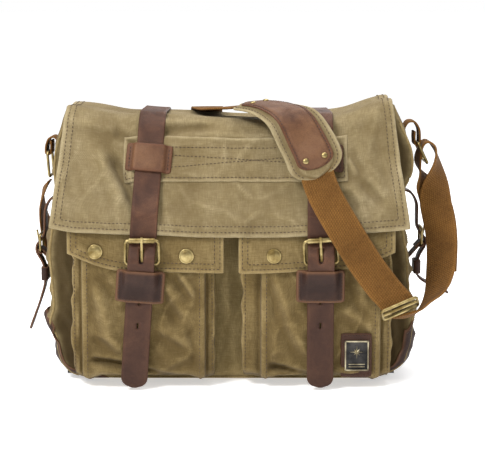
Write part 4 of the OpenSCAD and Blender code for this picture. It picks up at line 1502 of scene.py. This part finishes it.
def on_side(pairs, left, lift=None):
    """Points in the section across the bag, as (distance from the middle, height). The
    right side's fittings sit higher, unless lift says otherwise."""
    if lift is None:
        lift = 0 if left else RIGHT_LIFT
    side = -1 if left else 1
    return [(side * d, 0, h + lift) for d, h in pairs]


def across_y(line):
    return np.tile(ALONG_Y, (len(line), 1))


def make_side_strap(left):
    """A side strap through its buckle, with the buckle's chape and the keeper."""
    name = "left" if left else "right"
    tail = [(226, 82), (239, 47)] if left else [(230, 96), (245, 92), (258, 82)]
    path = [(SIDE_X, 207), (212, 204), (219, 192), (219.4, 160), (229.2, 149), (229.2, 141),
            (220.5, 126), (219, 104)] + tail
    line = rounded(on_side(path, left), 9, 2.0)

    # The left side strap takes the dark leather as painted shade, for it hangs in shade; the right one
    # takes the plain leather.
    piece = ribbon(name + "_side_strap_leather", line, SIDE_STRAP_W, STRAP_T,
                   DARK_LEATHER if left else LEATHER, across_y(line),
                   half=tipped(SIDE_STRAP_W / 2, 12, 12.3, 2.2), wave=0.3, seed=14 + left)
    place(piece, "root", "strap_leather", name + "_side_strap")
    fold = arc((224, 142), 2.9, -140, 120)
    path = [(SIDE_X, 100), (SIDE_X, 118), (219.5, 138)] + fold + [(217, 138.5)]
    line = rounded(on_side(path, left), 5, 1.2)
    chape = ribbon(name + "_side_chape_leather", line, 22, 1.8, DARK_LEATHER, across_y(line), wave=0.15)
    place(chape, "root", "dark_leather", name + "_side_chape")
    ring = [(4.2, 0), (4.2, 12.6), (-4.2, 12.6), (-4.2, -12.6), (4.2, -12.6), (4.2, 0.5)]
    ring = [(d * 0.76, y, 0) for d, y in ring]
    line = rounded(ring, 2.6, 1.2) + on_side([(219.8, 115)], left)[0]
    keeper = ribbon(name + "_side_keeper_leather", line, 16, 1.9, DARK_LEATHER,
                    np.tile([0, 0, 1.0], (len(line), 1)), wave=0.12)
    place(keeper, "root", "dark_leather", name + "_side_keeper")


def make_ring_tab(left):
    """The webbing loop that holds a ring to one end of the bag."""
    name = "left" if left else "right"
    if left:
        path = [(201.4, 250), (SIDE_X, 273), (206, 277.5), (212.5, 275), (215.6, 266)]
        bar = (212.8, 259.5)
    else:
        path = [(201.4, 262), (SIDE_X, 287), (206.5, 295), (214.5, 295), (220, 286), (220.6, 277)]
        bar = (217.6, 270)
    fold = arc(bar, 3.1, 20, -200)
    back = [(bar[0] - 3.4, bar[1] + 6), (bar[0] - 3, bar[1] + 13)]
    line = rounded(on_side(path + fold + back, left, 0), 4, 1.2)
    piece = ribbon(name + "_ring_tab_webbing", line, 30, 2.2, WEBBING, across_y(line), wave=0.2)
    place(piece, "root", "webbing" if left else "strap_leather", name + "_ring_tab")


# ---- shoulder strap ---------------------------------------------------------------------

PAD_LINE = [(98, -105.5, 238), (94, -98.5, 259), (85, -91.5, 278.5), (70, -85, 302.8),
            (52, -64, 311.5), (33, -46, 314), (12, -28, 313)]
PAD_ACROSS = [(0.95, 0.12, 0.30), (0.95, 0.12, 0.30), (0.94, 0.16, 0.30), (0.87, 0.43, 0.24),
              (0.79, 0.59, 0.13), (0.68, 0.73, 0.08), (0.57, 0.82, 0.05)]
PAD_W = 62
FRONT_LINE = [(98.2, -105.8, 237.2), (106, -113, 218), (122, -120.5, 190), (148, -121.8, 148),
              (170, -122, 118), (181, -122.4, 106)]
FRONT_ACROSS = [(0.95, 0.12, 0.30), (0.92, 0.11, 0.38), (0.88, 0.10, 0.46), (0.88, 0.08, 0.46),
                (0.88, 0.06, 0.46), (0.90, 0.05, 0.42)]
TOP_LINE = [(11.3, -27.4, 313), (-8, -11, 310.5), (-20, 8, 308.5), (-27, 30, 308), (-29, 50, 307.6)]
TOP_ACROSS = [(0.57, 0.82, 0.05), (0.76, 0.65, 0.02), (0.90, 0.42, 0), (0.98, 0.2, 0), (1, 0, 0)]
REAR_LINE = [(-30, 69, 292), (-32, 69, 250), (-42, 69, 190), (-72, 69, 135), (-115, 69, 102),
             (-162, 69.5, 92), (-203, 69.5, 115), (-222, 49, 155), (-226, 21, 198), (-213.5, 1, 224)]
REAR_ACROSS = [(1, 0, 0), (0.99, 0, -0.1), (0.94, 0, -0.33), (0.78, 0, -0.63), (0.45, 0, -0.89),
               (-0.17, 0, -0.98), (-0.63, -0.37, -0.66), (-0.21, -0.85, -0.48), (0, -0.87, -0.49),
               (0, -1, 0)]
LOOP_LINE = [(193, -104, 83.5), (205, -101, 84.5), (218, -93, 90), (232, -80, 102), (241, -62, 127),
             (243.5, -40, 165), (239, -17, 207), (242, -1, 246)]
LOOP_ACROSS = [(0.60, -0.72, 0.34), (0.45, -0.78, 0.43), (0.35, -0.80, 0.49), (0.55, -0.75, 0.37),
               (0.78, -0.60, 0.15), (0.90, -0.42, 0), (0.985, 0.17, 0), (0.30, 0.95, 0)]
CREST_LINE = [(238.5, 0, 264), (229.5, 0, 271), (222.5, 0, 263), (221, 0, 240)]
PLY_GAP = -4
PLY_END = 4


def band_line(line, across, step=3.0):
    """A smooth strap line: its points and its width directions."""
    both = spline(np.hstack([np.array(line, float), unit(across)]), step)
    return both[:, :3], unit(both[:, 3:])


def lifted(line, across, distance_out):
    """A line moved along the normal of the band that it carries."""
    line = np.array(line, float)
    out = unit(np.cross(unit(across), np.gradient(line, axis=0)))
    return line + out * distance_out


class PadShape:
    """The curved pad as a surface: u across it in millimetres, s along it."""

    def __init__(self):
        self.line, self.across = band_line(PAD_LINE, PAD_ACROSS, 2.0)
        self.s = distance(self.line)
        self.length = self.s[-1]
        self.along = unit(np.gradient(self.line, axis=0))
        self.out = unit(np.cross(self.across, self.along))

    def at(self, u, s, height):
        u, s = matched(u, s)
        inside = np.clip(s, 0, self.length)
        middle, across, out, along = (sample(inside, self.s, field) for field in
                                      (self.line, self.across, self.out, self.along))
        beyond = (s - inside)[..., None]
        return (middle + along * beyond + unit(across) * u[..., None]
                + unit(out) * np.asarray(height)[..., None])

    def half(self, s, full, end_radius, margin=0.0):
        """Half width at s, with round ends that stop short of the pad's by a margin."""
        near = np.minimum(s - margin, self.length - margin - s)
        t = np.clip(1 - near / end_radius, 0, 1)
        return full * (1 - 0.999 * t ** 2.3) ** 0.5

    def layer(self, full, end_radius, margin=0.0):
        """A grid over the pad: places across and along it, and distances in from its rim."""
        v = 0.5 - 0.5 * np.cos(np.linspace(0, math.pi, 120))
        s = margin + v * (self.length - 2 * margin)
        half = self.half(s, full, end_radius, margin)
        width, s = matched(np.linspace(-1, 1, 41)[:, None] * half[None], s[None])
        return width, s, half[None] - np.abs(width)

    def side_seams(self, full, end_radius, margin, inset, trim, count, height, **how):
        """Seams along both sides of a layer, a little way in from its rim."""
        s = np.linspace(margin + trim, self.length - margin - trim, count)
        half = self.half(s, full, end_radius, margin) - inset
        seams = []
        for side in (-1, 1):
            line = self.at(side * half, s, height)
            seams.append(seam(line, self.at(side * half, s, height + 2) - line, **how))
        return seams


PAD = PadShape()


def make_pad():
    """A padded strip of canvas, plump inside its sewn rim."""
    width, s, inset = PAD.layer(PAD_W / 2, 24)
    body = smooth(6.5, 13.5, inset)
    plump = 1.2 + 2.8 * body - 0.5 * bump(inset, 8.2, 1.6) + 0.22 * ripple(width, s, 26, 51) * body
    top = PAD.at(width, s, plump)
    under = PAD.at(width, s, -1.2 - 2.2 * body)
    piece = cloth("shoulder_pad_canvas", top, np.linalg.norm(top - under, axis=2, keepdims=True),
                  CANVAS, 4)
    place(piece, "shoulder_strap", "canvas", "shoulder_pad")
    seams = PAD.side_seams(PAD_W / 2, 24, 0, 4.4, 5, 160, 1.35)
    sew("shoulder_pad_stitches", seams, THREAD_DARK, "shoulder_strap", "canvas")


def make_pad_leather():
    """The leather sewn on top of the pad."""
    outline = (21, 13, 10.5)
    width, s, inset = PAD.layer(*outline)
    height = 4.6 + 1.3 * smooth(0, 8, inset) - 0.35 * bump(inset, 3.2, 1.2)
    height = height + 0.25 * ripple(width, s, 20, 52)
    leather = cloth("pad_leather_top", PAD.at(width, s, height), 1.4, RED_LEATHER, 2.5)
    place(leather, "shoulder_strap", "strap_leather", "pad_leather")
    seams = PAD.side_seams(*outline, 2.6, 2.6, 150, 4.75, pitch=3.8, length=2.7)
    sew("pad_leather_stitches", seams, THREAD_BROWN, "shoulder_strap", "strap_leather")


def strap_piece(name, line, across, nodes, seed):
    """A run of the shoulder webbing, not yet on any body."""
    line, across = band_line(line, across)
    piece = ribbon(name, line, WEBBING_W, WEBBING_T, WEBBING, across, wave=0.5, seed=seed)
    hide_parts(*nodes)
    return piece


def make_webbing():
    """The strap in front, over the top and down the back, and doubled at the side."""
    front = strap_piece("front_webbing", [(97, -102.5, 246)] + FRONT_LINE + [(187, -121.6, 98)],
                        [FRONT_ACROSS[0]] + FRONT_ACROSS + [FRONT_ACROSS[-1]],
                        ["webbing_front"], seed=61)
    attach(front, "shoulder_strap")
    rear = strap_piece("rear_webbing", TOP_LINE + [(-29.6, 62, 304.6)] + REAR_LINE,
                       TOP_ACROSS + [(1, 0, 0)] + REAR_ACROSS, ["webbing_top", "webbing_rear"],
                       seed=62)
    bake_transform(rear)
    inner = lifted(LOOP_LINE, LOOP_ACROSS, PLY_GAP)
    back = range(len(LOOP_LINE) - 2, PLY_END - 1, -1)
    loop = strap_piece("side_loop_webbing", LOOP_LINE + CREST_LINE + [tuple(inner[i]) for i in back],
                       LOOP_ACROSS + [ALONG_Y] * len(CREST_LINE) + [LOOP_ACROSS[i] for i in back],
                       ["webbing_loop"], seed=63)
    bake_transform(loop)


# ---- metal ----------------------------------------------------------------------------------

def lathe(name, profile, centre, axis, material, steps=28):
    """A turned shape: profile pairs are radius and height along the axis."""
    axis = unit(axis)
    other = np.array([0, 0, 1.0]) if abs(axis[2]) < 0.9 else np.array([1.0, 0, 0])
    a = unit(np.cross(axis, other))
    b = np.cross(axis, a)
    turn = np.linspace(0, TAU, steps, endpoint=False)
    ring = a[None] * np.cos(turn)[:, None] + b[None] * np.sin(turn)[:, None]
    rings = np.array([centre + axis * height + radius * ring for radius, height in profile[:-1]])
    return skin(name, rings, [centre + axis * profile[0][1], centre + axis * profile[-1][1]], material)


DOME = [(7.6, 0), (8.3, 0.3), (8.5, 0.9), (8.2, 1.5), (7.4, 1.75), (6.9, 1.6), (6.2, 1.95),
        (4.8, 2.5), (3.0, 2.85), (1.2, 2.98), (0, 3.0)]
RIVET = [(3.2, -0.4), (3.5, 0.2), (3.3, 0.8), (2.6, 1.4), (1.5, 1.75), (0, 1.9)]


CAP_RADIUS = 8.5


def make_snaps():
    """Two domed caps on each pocket flap. The outer one of each pair sits higher."""
    for name in ("left", "right"):
        node = name + "_snap_caps"
        lo, hi = low(node), high(node)
        caps = []
        for x in (lo[0] + CAP_RADIUS, hi[0] - CAP_RADIUS):
            z = hi[2] - CAP_RADIUS if abs(x) > 100 else lo[2] + CAP_RADIUS
            caps.append(lathe("cap", DOME, np.array([x, hi[1], z]), (0, -1, 0), BRASS))
        place(merge(node + "_domes", caps), name + "_pocket_flap", "aged_brass", node)


RIVET_OUT = 11.0


def make_rivets():
    """Four rivets, a pair near each end of the pad."""
    heads = []
    for i in (1, len(PAD_LINE) - 2):
        s = PAD.s[np.argmin(np.linalg.norm(PAD.line - np.array(PAD_LINE[i]), axis=1))]
        for side in (-1, 1):
            base = PAD.at(side * RIVET_OUT, s, 5.9)
            up = unit(PAD.at(side * RIVET_OUT, s, 8.0) - base)
            heads.append(lathe("rivet", RIVET, base, up, BRASS, 20))
    place(merge("pad_rivet_heads", heads), "shoulder_strap", "aged_brass", "pad_rivets")


def make_badge():
    """The leather patch, sewn down along its edges."""
    lo, hi = low("badge_patch"), high("badge_patch")
    middle = (lo + hi) / 2
    half_x, _, half_z = (hi - lo) / 2

    def surface(u, v):
        u, v = matched(u, v)
        rim_share = np.maximum(np.abs(u / half_x), np.abs(v / half_z))
        out = 105.6 + 0.35 * ripple(u, v, 20, 81) - 0.5 * smooth(0.86, 1, rim_share)
        return np.stack([middle[0] + u, -out, middle[2] + v], -1)

    grid = surface(*round_square(24, 30, half_x, half_z, 3))
    piece = cloth("badge_leather", grid, 1.8, LEATHER, 2.0)
    place(piece, "root", "strap_leather", "badge_patch")
    t = np.linspace(-1, 1, 30)
    in_x, in_z = half_x - 1.8, half_z - 1.8
    seams = [surface_seam(surface, side * in_x, t * in_z, length=2.0, pitch=3) for side in (-1, 1)]
    seams += [surface_seam(surface, t * in_x, side * in_z, length=2.0, pitch=3) for side in (-1, 1)]
    sew("badge_stitches", seams, THREAD_BROWN, "root", "strap_leather")


def prism(outline, y_back, y_front, material, shrink=0.94):
    """A flat shape standing out from the front, its face a little smaller than its foot."""
    p = np.array(outline, float)
    middle = p.mean(0)
    face = middle + (p - middle) * shrink
    n = len(p)
    points = [(x, y_back, z) for x, z in p] + [(x, y_front, z) for x, z in face]
    faces = [list(range(n)), list(range(2 * n - 1, n - 1, -1))]
    faces += [[k, n + k, n + (k + 1) % n, (k + 1) % n] for k in range(n)]
    return solid("prism", points, faces, material, flat=True)


def box_outline(x0, z0, x1, z1, r=1.2):
    """A rectangle with round corners, as an outline for a prism."""
    corners = [(x1 - r, z1 - r, 0), (x0 + r, z1 - r, 90), (x0 + r, z0 + r, 180), (x1 - r, z0 + r, 270)]
    return [(x + r * math.cos(math.radians(a + d)), z + r * math.sin(math.radians(a + d)))
            for x, z, a in corners for d in (0, 30, 60, 90)]


def make_plate():
    """A small pewter plate: a raised rim, a plain eight-point star and two ruled lines."""
    lo, hi = low("badge_plate"), high("badge_plate")
    x0, z0, x1, z1 = lo[0], lo[2], hi[0], hi[2]
    face = -107.0
    field = prism(box_outline(x0, z0, x1, z1), -105.4, face, PEWTER)
    rims = []
    for a, b, c, d in ((x0, z0, x1, z0 + 1.5), (x0, z1 - 1.5, x1, z1), (x0, z0, x0 + 1.5, z1),
                       (x1 - 1.5, z0, x1, z1)):
        rims.append(prism(box_outline(a, b, c, d, 0.5), -105.4, face - 0.9, PEWTER_BRIGHT, shrink=0.97))
    cx, cz = (x0 + x1) / 2, z0 + (z1 - z0) * 0.62
    star = []
    for k in range(16):
        r = (9.0 if k % 4 == 0 else 5.4) if k % 2 == 0 else 2.3
        a = math.radians(90 + k * 22.5)
        star.append((cx + r * math.cos(a), cz + r * math.sin(a)))
    n = len(star)
    points = [(x, face + 0.1, z) for x, z in star] + [(cx, face - 1.3, cz), (cx, face + 0.3, cz)]
    faces = [[k, (k + 1) % n, n] for k in range(n)] + [[(k + 1) % n, k, n + 1] for k in range(n)]
    relief = solid("star", points, faces, PEWTER_BRIGHT, flat=True)
    lines = [prism(box_outline(x0 + 4, z, x1 - 4, z + 0.9, 0.3), face + 0.1, face - 0.5, PEWTER_BRIGHT)
             for z in (z0 + 4.2, z0 + 7.0)]
    plate = merge("badge_plate_relief", [field] + rims + [relief] + lines)
    place(plate, "root", "pewter", "badge_plate")


def finish_cad():
    """Better materials on the hard CAD pieces that stay."""
    special = {"base_board": (BOARD, "board"), "flap_magnets": (STEEL, "magnet_steel"),
               "pocket_magnets": (STEEL, "magnet_steel")}
    for name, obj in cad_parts.items():
        if obj.hide_render:
            continue
        paint, slot = special.get(name, (BRASS, "aged_brass"))
        obj.data.materials.clear()
        obj.data.materials.append(paint)
        obj.data.polygons.foreach_set("use_smooth", [True] * len(obj.data.polygons))
        obj.data.set_sharp_from_angle(angle=math.radians(40))


def main():
    make_walls()
    make_bottom()
    make_piping()
    make_lining()
    make_divider()
    for left in (True, False):
        make_corner(left)
    for pocket in (LEFT_POCKET, RIGHT_POCKET):
        make_pocket(pocket)
    for flap in (LEFT_POCKET_FLAP, RIGHT_POCKET_FLAP):
        make_pocket_flap(flap)
    make_main_flap()
    make_band()
    for left in (True, False):
        make_strap(left)
        make_anchor(left, -88 if left else 101)
        make_chape(left)
        make_upper_keeper(left)
        make_lower_keeper(left)
        make_side_strap(left)
        make_ring_tab(left)
    make_pad()
    make_pad_leather()
    make_webbing()
    make_snaps()
    make_rivets()
    make_badge()
    make_plate()
    finish_cad()


main()
